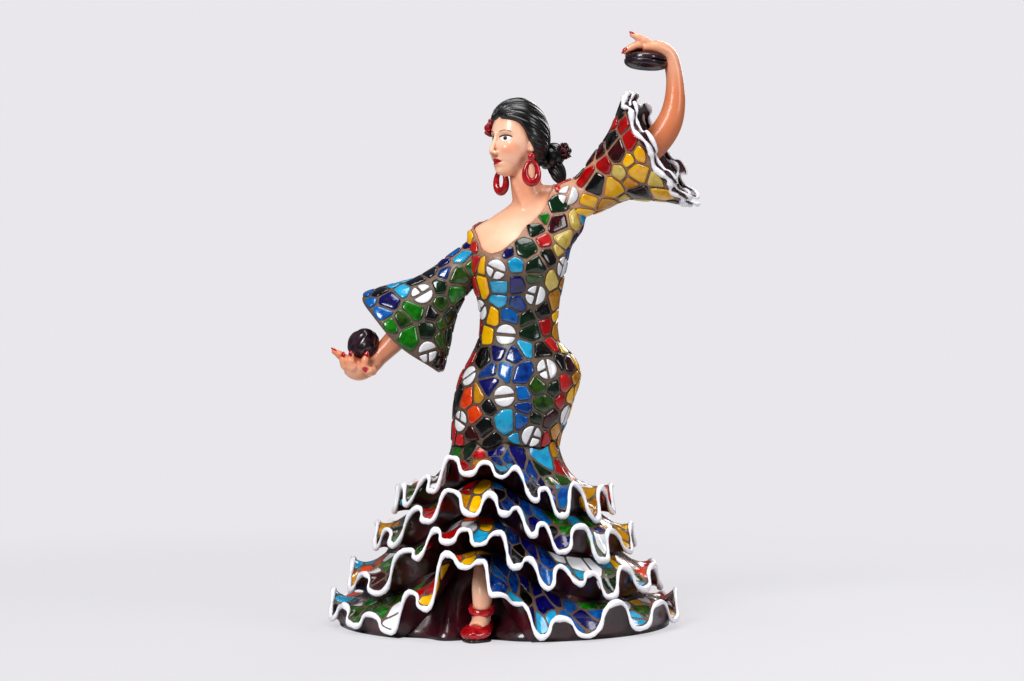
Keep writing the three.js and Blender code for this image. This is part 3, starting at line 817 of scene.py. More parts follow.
class DrapedField(MosaicField):
    # a mosaic on a folded strip: cells are cut with the strip laid flat, then draped over its folds
    def __init__(self, grid, spacing, topMargin, edgeMargin):
        super().__init__(grid.reshape(-1, 3), gridFaces(*grid.shape[:2]), spacing)
        self.grid = np.concatenate([grid, grid[:, :1]], 1)
        down = np.linalg.norm(np.diff(grid, axis=0), axis=2).mean(1)
        self.rowsAt = np.concatenate([[0], np.cumsum(down)])
        self.length = self.rowsAt[-1]
        self.width = np.linalg.norm(np.diff(self.grid, axis=1), axis=2).sum(1).mean()
        self.perColumn = self.width / grid.shape[1]
        self.margins = (topMargin, edgeMargin)

    def drape(self, flat):
        # the places on the folds that belong to places on the flat strip
        flat = np.atleast_2d(flat)
        column = (flat[:, 0] / self.perColumn) % (self.grid.shape[1] - 1)
        row = np.interp(flat[:, 1], self.rowsAt, np.arange(len(self.rowsAt)))
        i = np.minimum(row.astype(int), len(self.rowsAt) - 2)
        j = np.minimum(column.astype(int), self.grid.shape[1] - 2)
        u, v = (row - i)[:, None], (column - j)[:, None]
        upper = self.grid[i, j] * (1 - v) + self.grid[i, j + 1] * v
        lower = self.grid[i + 1, j] * (1 - v) + self.grid[i + 1, j + 1] * v
        return upper * (1 - u) + lower * u

    def stretch(self, flat, way):
        # true length for each flat millimetre in a direction
        flat = np.array([flat[0], np.clip(flat[1], 0.6, self.length - 0.6)])
        ends = self.drape(np.array([flat + way * 0.5, flat - way * 0.5]))
        return max(np.linalg.norm(ends[0] - ends[1]), 0.3)

    def spread(self, allowed):
        total = int(self.width * self.length / self.spacing**2 * 70)
        flat = picker.random((total, 2)) * [self.width, self.length]
        spots = self.drape(flat)
        ends = [self.drape(np.column_stack([flat[:, 0], np.full(total, y)])) for y in (0, self.length)]
        clear = []
        for end, margin in zip(ends, self.margins):
            clear.append(np.linalg.norm(spots - end, axis=1) > margin + 1.2)
        keep = []
        for k in np.nonzero(allowed(spots) & clear[0] & clear[1])[0]:
            if keep and np.min(np.linalg.norm(spots[keep] - spots[k], axis=1)) < self.spacing * 0.84:
                continue
            keep.append(k)
        self.flatSeeds = flat[keep]
        return spots[keep]

    def cells(self, seeds, colourOf):
        outlines, colours = [], []
        weights = picker.uniform(-1, 1, len(seeds))
        down = np.array([0.0, 1.0])
        for index, place in enumerate(self.flatSeeds):
            cell = squareCell(self.spacing * 1.25)
            away = self.flatSeeds - place
            away[:, 0] = (away[:, 0] + self.width / 2) % self.width - self.width / 2
            far = np.linalg.norm(away, axis=1)
            for other in np.nonzero((far > 1e-6) & (far < self.spacing * 3))[0]:
                way = away[other] / far[other]
                shift = (weights[index] - weights[other]) * mosaic["uneven"]
                shift = np.clip(shift, -0.16, 0.16) * far[other] / 2
                joint = mosaic["groutWidth"] * 0.62 / self.stretch(place + away[other] / 2, way)
                cell = clipCell(cell, way, far[other] / 2 + shift - joint) if cell else cell
            for way, room, margin in ((-down, place[1], 0), (down, self.length - place[1], 1)):
                edge = place + way * room
                limit = room - self.margins[margin] / self.stretch(edge, way)
                cell = clipCell(cell, way, limit) if cell else cell
            if len(cell) < 3:
                continue
            cell = self.finer(roundCell(cell))
            if len(cell) < 6 or areaOf(cell) < mosaic["leastArea"][1]:
                continue
            flat = place + self.ringed(cell)
            spots = self.drape(flat)
            normals = np.array([self.nearest(spot)[1] for spot in spots])
            outlines.append(list(spots - normals * mosaic["sunk"]))
            colours.append(colourOf(seeds[index]))
        return outlines, colours

    def finer(self, cell):
        # more points along long sides, so that they can follow the folds
        fine = []
        for i, here in enumerate(cell):
            there = cell[(i + 1) % len(cell)]
            parts = max(1, math.ceil(np.linalg.norm(there - here) / 1.3))
            fine += [here + (there - here) * k / parts for k in range(parts)]
        return fine


def panelColour(panels, angle):
    # a colour from the panel that holds this angle, in degrees from the front
    for stop, names in panels:
        if angle < stop:
            return random.choice(names)
    return random.choice(panels[-1][1])


skirt = {
    "taper": 0.565,  # core radius lost for each millimetre of height
    "outward": 2.3,  # how far a low fold stands out, and a high one tucks in
    "curl": (0.35, 0.85),  # how far the edge doubles back on itself, in front and at the sides
    "trimRadius": 0.76,
    "spacing": 6.4,
    "stepsPerFold": 11,
    "topSteps": 16,
    "underSteps": 8,
    "lip": 0.55,  # half the thickness of a flounce at its edge
    "tileMargins": (0.5, 0.8),  # bare grout along a flounce's top and edge
    "backFolds": (22, 3.6),  # degrees for a pair of folds at the back, and half their depth
    "floorClear": 1.9,  # lowest middle of an edge line, in line radii above the floor
}
# edge folds across the front, as degree and height pairs, low and high in turn
flounces = [
    {
        "radius": 38.4, "hem": 44.5, "lift": 13, "liftAt": -15, "liftWidth": 32,
        "folds": [
            (-108, 40.5), (-95, 48), (-83, 40), (-71, 49.5), (-59, 43.2), (-46, 53.4), (-39, 48.8),
            (-29, 60.2), (-18, 55), (-10, 58.8), (-1, 54), (6, 57), (15, 46), (21, 49.6),
            (30, 40.6), (41, 51), (53, 38), (64, 49), (76, 40), (89, 48.5),
        ],
    },
    {
        "radius": 45.7, "hem": 30.5, "lift": 15, "liftAt": -15, "liftWidth": 30,
        "folds": [
            (-103, 27), (-90, 35.5), (-77, 27.4), (-64, 34.6), (-55, 29.5), (-42, 43), (-34, 39),
            (-24, 49.4), (-13, 41.6), (-6, 48.4), (0, 42), (6, 43.8), (11, 34.6), (17, 38.2),
            (24, 28.8), (36, 37), (46, 25), (56, 34.6), (69, 26.5), (84, 35.5),
        ],
    },
    {
        "radius": 54.6, "hem": 15.5, "lift": 18.5, "liftAt": -12, "liftWidth": 27,
        "folds": [
            (-103, 12.6), (-90, 22.4), (-77, 12.4), (-65, 19.6), (-52, 13.8), (-37, 29.4),
            (-31, 27.2), (-26, 36.6), (-20, 33), (-14, 37), (-9, 32.4), (-2, 36), (4, 25),
            (9, 27.4), (15, 17.6), (21, 24.6), (27, 18.6), (33, 21.6), (41, 13.6), (49, 23),
            (60, 14.4), (74, 21.6), (88, 12.8), (101, 21),
        ],
    },
    {
        "radius": 61.4, "hem": 5, "lift": 21, "liftAt": -14, "liftWidth": 17,
        "folds": [
            (-100, 2.6), (-88, 12), (-76, 2.8), (-66, 8.8), (-56, 3), (-48, 7.2), (-38, 2.4),
            (-31, 16), (-25, 11.2), (-18, 29.2), (-12, 25.4), (-7, 27), (-3, 16.5), (6, 13),
            (11, 2.2), (18, 7.8), (27, 2), (38, 12), (49, 2.8), (61, 10), (74, 3), (88, 12),
        ],
    },
]
flouncePanels = [
    (-128, ["blue", "cyan", "navy", "black", "sky"]),
    (-98, ["yellow", "orange", "gold", "red"]),
    (-74, ["cyan", "gold", "black", "orange"]),
    (-36, ["grass", "pine", "olive", "grass", "wine"]),
    (-22, ["wine", "red", "red", "black"]),
    (-7, ["yellow", "gold", "orange", "yellow"]),
    (34, ["cyan", "sky", "blue", "navy", "black", "sky", "blue"]),
    (60, ["grass", "pine", "olive", "navy", "cyan"]),
    (84, ["yellow", "orange", "red", "gold", "cream"]),
    (118, ["wine", "red", "coral", "black"]),
    (152, ["grass", "olive", "pine", "black"]),
    (181, ["blue", "cyan", "sky", "navy", "black"]),
]


def coreAt(z):
    return coreRadius - skirt["taper"] * np.asarray(z, float)


def evenFolds(flounce):
    # the folds all the way round: the front ones as given, then even ones over the back
    folds = [(angle, height) for angle, height in flounce["folds"]]
    start, stop = folds[-1][0], folds[0][0] + 360
    wide, deep = skirt["backFolds"]
    pairs = round((stop - start) / wide)
    step = (stop - start) / (2 * pairs + 1)
    for k in range(1, 2 * pairs + 1):
        swing = -deep if k % 2 else deep
        angle = start + step * k + random.uniform(-1.2, 1.2)
        folds.append((angle, flounce["hem"] + swing + random.uniform(-0.9, 0.9)))
    return np.array(folds, float)


def baseHem(flounce, angle):
    away = wrapDegrees(angle - flounce["liftAt"])
    return flounce["hem"] + flounce["lift"] * bump(away, flounce["liftWidth"])


def edgeStations(flounce):
    # angle without and with the curl, height and outward swing at each step round the edge
    folds = evenFolds(flounce)
    folds[:, 1] = np.maximum(folds[:, 1], skirt["trimRadius"] * skirt["floorClear"])
    count = len(folds)
    following = np.roll(folds, -1, 0)
    following[-1, 0] += 360
    t = np.arange(skirt["stepsPerFold"]) / skirt["stepsPerFold"]
    span = (following[:, 0] - folds[:, 0])[:, None]
    plain = folds[:, 0][:, None] + span * t
    curl = skirt["curl"][0] + (skirt["curl"][1] - skirt["curl"][0]) * np.abs(np.sin(np.radians(plain)))
    curled = plain + span * curl / (2 * math.pi) * np.sin(2 * math.pi * t)
    curled = plain + (curled - plain) * np.clip(picker.uniform(0.5, 1.45, count), 0, 1.2)[:, None]
    lean = picker.uniform(-0.09, 0.09, count)[:, None]
    ease = (1 - np.cos(math.pi * t)) / 2 + lean * np.sin(2 * math.pi * t)
    height = folds[:, 1][:, None] + (following[:, 1] - folds[:, 1])[:, None] * ease
    side = np.where(np.arange(count) % 2 == 0, 1.0, -1.0)[:, None]
    atSide = np.abs(np.sin(np.radians(plain)))
    swing = side * np.cos(math.pi * t) * skirt["outward"] * (1 - 0.7 * atSide)
    thick = 0.66 + 0.72 * np.abs(np.cos(math.pi * t)) ** 1.6 + 0 * plain
    return [part.ravel() for part in (plain, curled, height, swing, thick)]


def seamAt(angle):
    # where the skirt's tiles take over from the dress's, a little up and down
    turn = np.radians(angle)
    return 63.4 + 1.0 * np.sin(7 * turn + 0.5) + 0.7 * np.sin(11 * turn + 2)


def underHeight(number, angle):
    under = baseHem(flounces[number], angle) - 4.6
    return np.maximum(under * 1.6 - 6, 0) if number == 3 else under


def topHeight(number, angle):
    return seamAt(angle) + 0.35 if number == 0 else underHeight(number - 1, angle) - 0.3


def polar(angle, radius, z):
    turn = np.radians(angle)
    return np.stack([radius * np.sin(turn), -radius * np.cos(turn), z + 0 * radius], -1)


def makeFlounce(number):
    flounce = flounces[number]
    plain, curled, height, swing, thick = edgeStations(flounce)
    top, under = topHeight(number, plain.ravel()), underHeight(number, plain)
    topRadius, underRadius = coreAt(top), coreAt(under)
    if number == 3:
        underRadius = underRadius + 3.4 * smooth(7, 1, under)
    if number == 0:
        start = torsoPoint(plain, top, 0.04)
        topRadius = np.hypot(start[:, 0], start[:, 1])
    hem = baseHem(flounce, plain)
    lip, topSteps = skirt["lip"], skirt["topSteps"]
    rows = []
    for v in np.linspace(0, 1, topSteps):
        # the top face falls from the core to the edge, and the folds grow towards the edge
        angle = plain + (curled - plain) * v**1.8
        fall = 1 - (1 - v) ** (1.9 if number == 0 else 1.25)
        spread = v ** (1.5 if number == 0 else 1.05)
        radius = topRadius + (flounce["radius"] - topRadius) * spread + swing * v**2.2
        z = top + (hem + 0.8 - top) * fall + (height - hem - 0.8) * v**2.4 + lip * v
        if number == 3:
            z = z + 5.2 * bump(wrapDegrees(plain + 8), 9) * v * (1 - v)
        rows.append(polar(angle, radius, z))
    for w in np.linspace(0, 1, skirt["underSteps"]):
        # the underside goes back in and down to the core, keeping its folds most of the way
        fade = (1 - w) ** 0.8
        angle = plain + (curled - plain) * fade
        radius = (flounce["radius"] + swing) * (1 - w) + (underRadius - 0.8) * w
        radius = radius + 0.4 * swing * fade * w
        rise = 1.6 * math.sin(math.pi * w) * (0.3 + 0.7 * smooth(0, 2, height - under))
        z = (height - lip) * (1 - w) + under * w + rise
        rows.append(polar(angle, radius, np.maximum(z, 0.0 if number == 3 else 0.3)))
    rows.append(polar(plain, topRadius - 1.4, np.maximum(under - 0.5, 0.3)))
    grid = np.array(rows)
    count = grid.shape[1]
    faces = gridFaces(len(rows), count, closedRows=True)
    rowOf = np.repeat(np.arange(len(rows)), count)
    slots = (rowOf >= topSteps - 1).astype(int)
    slots[rowOf == len(rows) - 1] = 1
    name = f"flounce{number + 1}"
    made = faceOut(makeObject(name, grid.reshape(-1, 3), faces, ["grout", "maroon"], slots))
    finishPiece(made, "maroon_lining", f"flounce_{number + 1}")
    edge = polar(curled, flounce["radius"] + swing + 0.15, height)
    trim = trimAlong(f"flounceTrim{number + 1}", edge, skirt["trimRadius"], thick)
    finishPiece(trim, "white_edge", f"flounce_trim_{number + 1}")
    topMargin, edgeMargin = skirt["tileMargins"]
    if number == 0:
        topMargin += 0.2
    field = DrapedField(grid[:topSteps], skirt["spacing"], topMargin, edgeMargin)
    tiles = field.build(f"flounceTiles{number + 1}", belowSeam, flounceColour)
    finishPiece(tiles, "dress_mosaic")
    print("flounce", number + 1, "has", len(tiles.data.polygons), "tile faces")


def belowSeam(spots):
    return spots[:, 2] < seamAt(np.degrees(np.arctan2(spots[:, 0], -spots[:, 1])))


def flounceColour(seed):
    if random.random() < 0.07:
        return "white"
    return panelColour(flouncePanels, math.degrees(math.atan2(seed[0], -seed[1])) + random.uniform(-6, 6))


def makeUnderskirt():
    # the solid core: soft pleats towards the floor, a hollow for the foot and a fold beside it
    levels = np.concatenate([np.linspace(0, 1.2, 4), np.linspace(3, waistZ, 22)])
    angle = np.linspace(-180, 180, 300, endpoint=False)
    rows = [polar(angle * 1.0, 0 * angle + 0.01, np.zeros_like(angle))]
    for z in levels:
        pleat = 0.9 * np.sin(np.radians(angle * 16)) * smooth(waistZ, 0, z)
        tuck = -1.2 * float(smooth(1.2, 0, z)) - 8 * float(smooth(44, 55, z))
        hollow = 9.5 * bump(wrapDegrees(angle + 8), 13) * float(smooth(21, 13, z))
        hollow = hollow * (0.35 + 0.65 * float(smooth(0, 9, z)))
        lobe = 3.6 * bump(wrapDegrees(angle + 21), 5.5) * float(smooth(24, 14, z))
        side = 1.8 * bump(wrapDegrees(angle - 10), 7) * float(smooth(20, 8, z))
        rows.append(polar(angle, coreAt(z) + pleat + tuck - hollow + lobe + side, np.full_like(angle, z)))
    rows.append(polar(angle, 0 * angle + 0.01, np.full_like(angle, waistZ)))
    grid = np.array(rows)
    faces = gridFaces(len(grid), len(angle))
    made = faceOut(makeObject("underskirtCore", grid.reshape(-1, 3), faces, ["maroon"]))
    finishPiece(made, "maroon_lining", "underskirt")


# level sections: height, middle across, middle in depth, half width, half depth
torsoRows = [
    (60, 0.2, 0, 18.9, 17), (66, 0.6, 0, 19.2, 17.2), (72, 1.9, 0, 20.2, 17.8),
    (80, 3.5, 0.5, 21.1, 18), (88, 5.7, 1, 21.2, 17.5), (94, 6.4, 1, 18.5, 15.5),
    (101, 5, 0, 14, 11.5), (108, 5.2, -0.5, 13.5, 11), (114, 5.1, -1, 14.2, 11.5),
    (120, 4.7, -1.8, 15.7, 12.6), (127, 4.7, -2.2, 17.2, 13.4), (134, 5.3, -1.5, 18.2, 12.2),
    (140, 7.6, 0, 19.8, 10.5), (145, 12.2, 0.8, 16.8, 9), (150, 14.6, 1.5, 12.6, 7.6),
    (154, 14.5, 1.8, 9.5, 6.4), (156.5, 15, 2, 4, 3.6),
]
neckline = [
    (-16, 150), (-10, 138), (-8.4, 132.6), (-4.8, 130.8), (-0.9, 131.8), (6.3, 138), (15, 149.5),
    (19, 160),
]
breasts = {"across": (-3.6, 11.6), "height": 127.2, "swell": 2.0, "width": 7}
whiteDiscs = [
    (-3, 125.5), (11, 116.5), (0.5, 102.5), (20.5, 126.5), (-8, 111.5), (15, 90.5), (0, 81),
    (-12.5, 88), (-15.5, 72), (9.5, 67), (21.5, 74),
]
# for three heights, the angles at which one colour panel ends and the next starts
panelHeights = (68, 88, 130)
torsoPanels = [
    ((-118, -118, -118), ["grass", "pine", "olive", "black", "navy"]),
    ((-32, -66, -80), ["red", "coral", "wine", "red", "black"]),
    ((-9, -36, -40), ["yellow", "orange", "gold", "coral", "black"]),
    ((22, 14, -3), ["cyan", "sky", "blue", "navy", "black", "blue"]),
    ((36, 43, 21), ["grass", "pine", "olive", "pine", "black"]),
    ((52, 66, 43), ["red", "wine", "coral", "red", "black"]),
    ((84, 96, 72), ["gold", "cream", "yellow", "gold"]),
    ((120, 124, 112), ["mauve", "coral", "cyan", "sky", "navy"]),
    ((150, 150, 150), ["yellow", "orange", "gold", "black"]),
    ((181, 181, 181), ["grass", "pine", "olive", "cyan"]),
]


def torsoPoint(angle, z, grow=0.0):
    angle, z = np.broadcast_arrays(np.asarray(angle, float), np.asarray(z, float))
    _, middleX, middleY, halfWidth, halfDepth = np.moveaxis(alongRows(torsoRows, z), -1, 0)
    turn = np.radians(angle)
    x = middleX + (halfWidth + grow) * np.sin(turn)
    y = middleY - (halfDepth + grow) * np.cos(turn)
    front = smooth(-0.1, 0.5, np.cos(turn))
    for across in breasts["across"]:
        y = y - breasts["swell"] * front * bump(np.hypot(x - across, z - breasts["height"]), breasts["width"])
    # a hollow down the back and the roundness of the seat
    back = smooth(0.2, 0.9, -np.cos(turn))
    y = y - 1.2 * back * bump(x - middleX, 3.5) * bump(z - 112, 18)
    y = y + 1.6 * back * (bump(x - middleX - 8, 7) + bump(x - middleX + 8, 7)) * bump(z - 84, 9)
    return np.stack([x, y, z + 0 * x], -1)


def sheathTop(angle):
    # the height of the dress edge: the scooped neckline in front, lower and level behind
    levels = np.arange(118, 156.6, 0.25)
    spots = torsoPoint(angle[:, None], levels[None, :])
    x = spots[..., 0]
    ahead = np.interp(x, *np.array(neckline).T)
    behind = 142 + 1.6 * np.maximum(x - 9, 0) + 1.3 * np.maximum(-4 - x, 0)
    front = smooth(-0.3, 0.3, np.cos(np.radians(angle)))[:, None]
    over = levels[None, :] > ahead * front + behind * (1 - front)
    top = np.where(over.any(1), levels[np.argmax(over, 1)], 156)
    return sum(np.roll(top, k) for k in range(-2, 3)) / 5


def torsoColour(seed):
    _, middleX, middleY, halfWidth, halfDepth = alongRows(torsoRows, np.array(seed[2]))
    angle = math.degrees(math.atan2((seed[0] - middleX) / halfWidth, -(seed[1] - middleY) / halfDepth))
    panels = [(np.interp(seed[2], panelHeights, stops), names) for stops, names in torsoPanels]
    return panelColour(panels, angle)


def frontSpot(field, x, z):
    # the point of a surface seen from the front at x and z
    place = field.tree.ray_cast(Vector((x, -100, z)), Vector((0, 1, 0)))[0]
    return np.array(place) if place else None


def strewDiscs(field, given, allowed, apart, wanted):
    # the given discs, then more wherever there is room
    spots = [spot for spot in (frontSpot(field, x, z) for x, z in given) if spot is not None]
    middles = field.points[field.faces].mean(1)
    middles = middles[allowed(middles)]
    for _ in range(wanted * 40):
        if len(spots) >= len(given) + wanted:
            break
        spot = middles[picker.integers(len(middles))]
        if not spots or min(np.linalg.norm(spot - other) for other in spots) > apart:
            spots.append(spot)
    field.discs = np.array(spots)


sheath = {
    "low": 60.6,  # where it ends inside the top flounce
    "wall": 1.4,
    "steps": (220, 76, 26),  # round it, up its outside and down its inside
    "moreDiscs": 13,
    "discsApart": 19,
}


def makeSheath():
    around, upSteps, downSteps = sheath["steps"]
    low, wall = sheath["low"], sheath["wall"]
    angle = np.linspace(-180, 180, around, endpoint=False)
    top = sheathTop(angle)
    rows = []
    for v in np.linspace(0, 1, upSteps):
        # below the seam it dives under the top flounce
        z = low + (top - low) * v
        rows.append(torsoPoint(angle, z, -1.0 * smooth(0, -1.4, z - seamAt(angle))))
    shown = np.array(rows)
    rows.append(torsoPoint(angle, top - 0.3, -0.5))
    rows += [torsoPoint(angle, low + (top - low - 1.8) * v, -wall) for v in np.linspace(1, 0, downSteps)]
    grid = np.array(rows)
    faces = gridFaces(len(grid), len(angle), closedRows=True)
    made = faceOut(makeObject("sheathDress", grid.reshape(-1, 3), faces, ["grout"]))
    finishPiece(made, "dress_mosaic", "dress_sheath")
    field = MosaicField(shown.reshape(-1, 3), gridFaces(len(shown), len(angle)))
    field.edge = np.concatenate([shown[-1], torsoPoint(angle, seamAt(angle) - 0.2)])

    def behind(spots):
        return (spots[:, 1] > 3) & (spots[:, 2] < 136) & (spots[:, 2] > 66)

    def bare(spots):
        return outsideSleeves(spots) & ~belowSeam(spots)

    strewDiscs(field, whiteDiscs, behind, sheath["discsApart"], sheath["moreDiscs"])
    tiles = field.build("sheathTiles", bare, torsoColour)
    finishPiece(tiles, "dress_mosaic")
    print("dress has", len(tiles.data.polygons), "tile faces")


# sleeves: a point on the middle line, half height and half depth
sleeves = {
    "raised": {
        "rows": [
            (15, 1.2, 146, 7, 6.4), (23, 0.6, 150.2, 7, 6.3), (31, 0, 153.6, 7.6, 6.8),
            (39.6, -2.5, 160, 10.8, 9.2), (46.2, -5.4, 163.7, 15.3, 12.4),
            (53, -7.4, 167.6, 21.6, 15.8),
        ],
        "discs": [(22.5, 152)],
        "share": 0.05,  # how high above its middle line the upper colours start
        "upper": ["red", "wine", "black", "red", "wine"],
        "lower": ["yellow", "gold", "black", "cream", "yellow", "gold", "yellow", "cream"],
        "node": "raised_sleeve",
    },
    "lowered": {
        "rows": [
            (-3, 0, 134, 7.2, 6.8), (-10, -0.8, 129, 7, 6.9), (-16, -1.4, 124.8, 7, 7.2),
            (-20.2, -1.6, 120.6, 7.8, 7.8), (-24.8, -1.6, 115.6, 10.3, 9.2),
            (-30, -1.4, 110, 15.4, 12.2), (-35, -1, 104.6, 20.2, 15.2),
        ],
        "discs": [(-29, 117), (-27, 96.5)],
        "share": 0.12,
        "upper": ["blue", "navy", "sky", "slate", "navy", "cyan"],
        "lower": ["grass", "pine", "olive", "black", "pine"],
        "node": "lowered_sleeve",
    },
}


def distanceToLine(spots, rows):
    line = between(rows, np.linspace(0, 1, 60))
    away = np.linalg.norm(spots[:, None, :] - line[None, :, :3], axis=2)
    nearest = away.argmin(1)
    return away.min(1), line[nearest]


def outsideSleeves(spots):
    keep = np.ones(len(spots), bool)
    for sleeve in sleeves.values():
        away, row = distanceToLine(spots, sleeve["rows"][:4])
        keep &= away > row[:, 3] * 0.98
    return keep


def outsideTorso(spots):
    section = alongRows(torsoRows, np.clip(spots[:, 2], 60, 156))
    _, middleX, middleY, halfWidth, halfDepth = np.moveaxis(section, -1, 0)
    away = np.hypot((spots[:, 0] - middleX) / (halfWidth + 0.4), (spots[:, 1] - middleY) / (halfDepth + 0.4))
    return (away > 1) | (spots[:, 2] > 157)


def mouthWave(angle):
    # the open edge hangs lower at the near side, draws back at its low corner and runs a little in and out
    corner = bump(wrapDegrees(np.degrees(angle)), 30)
    return 2.9 - 1.8 * np.sin(angle) + 0.5 * np.sin(angle * 4 + 2) - 1.6 * corner


def makeSleeve(kind):
    sleeve = sleeves[kind]
    sides = 110
    outside = tubeGrid(sleeve["rows"], 54, sides)
    inside = tubeGrid(sleeve["rows"], 22, sides, -1.5, 0.42, 0.997)[::-1]
    along = unit(np.array(sleeve["rows"][-1][:3]) - np.array(sleeve["rows"][-2][:3]))
    angle = turnRound(sides)
    wave = (mouthWave(angle) if kind == "lowered" else 0 * angle)[:, None] * along
    outside += wave * np.linspace(0, 1, len(outside))[:, None, None] ** 4
    if kind == "lowered":
        # the rim turns in over a rounded edge
        middle = outside.mean(1, keepdims=True)
        share = np.array([0.994, 0.978, 0.95])[:, None, None]
        outside[-3:] = middle[-3:] + (outside[-3:] - middle[-3:]) * share
    inside += wave * np.linspace(1, 0, len(inside))[:, None, None] ** 4
    grid = np.concatenate([outside, inside])
    points, faces = cappedGrid(grid)
    inner = len(outside) * sides
    slots = [int(min(face) >= inner - sides) for face in faces]
    made = faceOut(makeObject(kind + "Sleeve", points, faces, ["grout", "maroon"], slots))
    finishPiece(made, "dress_mosaic", sleeve["node"])
    shown = outside[2:]
    field = MosaicField(shown.reshape(-1, 3), gridFaces(len(shown), sides), 6.1)
    field.edge = shown[-1]
    strewDiscs(field, sleeve["discs"], lambda spots: (spots[:, 1] > 2) & outsideTorso(spots), 17, 4)

    def colourOf(seed):
        _, row = distanceToLine(seed[None, :], sleeve["rows"])
        up = seed[2] - row[0, 2] + random.uniform(-2, 2)
        return random.choice(sleeve["upper"] if up > row[0, 3] * sleeve["share"] else sleeve["lower"])

    tiles = field.build(kind + "SleeveTiles", outsideTorso, colourOf)
    finishPiece(tiles, "dress_mosaic")


frill = {"folds": 11, "reach": 3.0, "flare": 0.7, "swing": 1.7, "curl": 1.0, "trim": 0.62, "steps": 330}


def makeFrill():
    # the ruffle round the raised sleeve's mouth, with a white line on both its edges
    rows = sleeves["raised"]["rows"]
    middle = np.array(rows[-1][:3], float)
    along = unit(middle - np.array(rows[-2][:3]))
    count = frill["steps"]
    t = turnRound(count)
    uneven = 0.35 * np.sin(2 * t + 0.6) + 0.22 * np.sin(3 * t + 2)
    fold = frill["folds"] * t + uneven * 2
    curled = t + frill["curl"] / frill["folds"] * np.sin(2 * fold) / 2
    mouth = tubeGrid(rows, 2, count, 0.25, 0.99, 1.0)[-1]
    spots = np.stack([np.interp(curled, t, mouth[:, k], period=2 * math.pi) for k in range(3)], 1)
    out = spots - middle
    out -= (out @ along)[:, None] * along
    out /= np.linalg.norm(out, axis=1)[:, None]
    plainOut = mouth - middle
    plainOut -= (plainOut @ along)[:, None] * along
    plainOut /= np.linalg.norm(plainOut, axis=1)[:, None]
    wave = np.cos(fold)[:, None]
    # it stands out less at the top of the mouth
    height = (mouth[:, 2:] - middle[2]) / np.abs(mouth[:, 2] - middle[2]).max()
    flare = frill["flare"] - 1.9 * np.maximum(height, 0) ** 2
    swing = frill["swing"] * (1 - 0.55 * np.maximum(height, 0) ** 2)

    def band(share, drop):
        base = mouth * (1 - share) + spots * share
        way = plainOut * (1 - share) + out * share
        reach = frill["reach"] * share + 1.2 * wave * share**1.5
        return base + along * (reach - drop) + way * (flare * share + swing * wave * share**1.4 - drop * 0.6)

    sheet = [band(v, 0.0) for v in np.linspace(0, 1, 8)]
    under = [band(v, 0.8) for v in np.linspace(1, 0, 8)]
    under[-1] = mouth - plainOut * 1.7
    grid = np.array(sheet + under)
    faces = gridFaces(len(grid), count, closedRows=True)
    made = faceOut(makeObject("sleeveFrill", grid.reshape(-1, 3), faces, ["maroon"]))
    finishPiece(made, "maroon_lining", "raised_sleeve_frill")
    thick = 0.4 + 0.9 * np.abs(np.cos(fold)) ** 2 * (0.6 + 0.4 * np.sin(3 * t + 1))
    finishPiece(trimAlong("frillOuterTrim", sheet[-1], frill["trim"], thick), "white_edge")
    ripple = np.sin(fold + 1.2)[:, None]
    inner = mouth + along * (0.7 + 1.1 * ripple) + plainOut * (0.35 + 0.5 * ripple)
    thick = 0.95 + 0.8 * np.sin(fold + 0.4) ** 2
    finishPiece(trimAlong("frillInnerTrim", inner, frill["trim"], thick), "white_edge")


makeUnderskirt()
for number in range(len(flounces)):
    makeFlounce(number)
print("skirt ready")
makeSheath()
makeSleeve("raised")
makeSleeve("lowered")
makeFrill()
print("dress ready")


def rowsOf(points, radii):
    return [(*point, radius) for point, radius in zip(points, radii)]


neckRows = [
    (10.5, 0.5, 142, 8.2), (9.8, 0.5, 147, 6.7), (8.6, 0.3, 152, 5.9), (7.2, 0, 160, 5.4),
    (6.2, 0, 168, 5.4),
]


def makeBust():
    angle = np.linspace(-180, 180, 90, endpoint=False)
    chest = np.array([torsoPoint(angle, np.full_like(angle, z), -0.75) for z in np.arange(116, 156.2, 1.0)])
    forms = [
        chest,
        tubeGrid(neckRows, 26, 40),
        tubeGrid([(-9, 0.5, 138, 3.2), (0, 0.8, 141.2, 4.2), (8, 1, 146.6, 5.0)], 12, 24),
        tubeGrid([(24, 1, 150.5, 3.6), (16, 1, 151, 4.6), (10, 1, 152, 4.8)], 12, 24),
        tubeGrid([(2.6, 1.6, 166, 1.0), (3.4, -3.0, 157, 1.1), (7.2, -5.4, 147, 0.8)], 12, 14),
    ]
    made = melted("bustAndNeck", forms, 0.55, 16, "skin")
    finishPiece(made, "skin", "bust_and_neck")


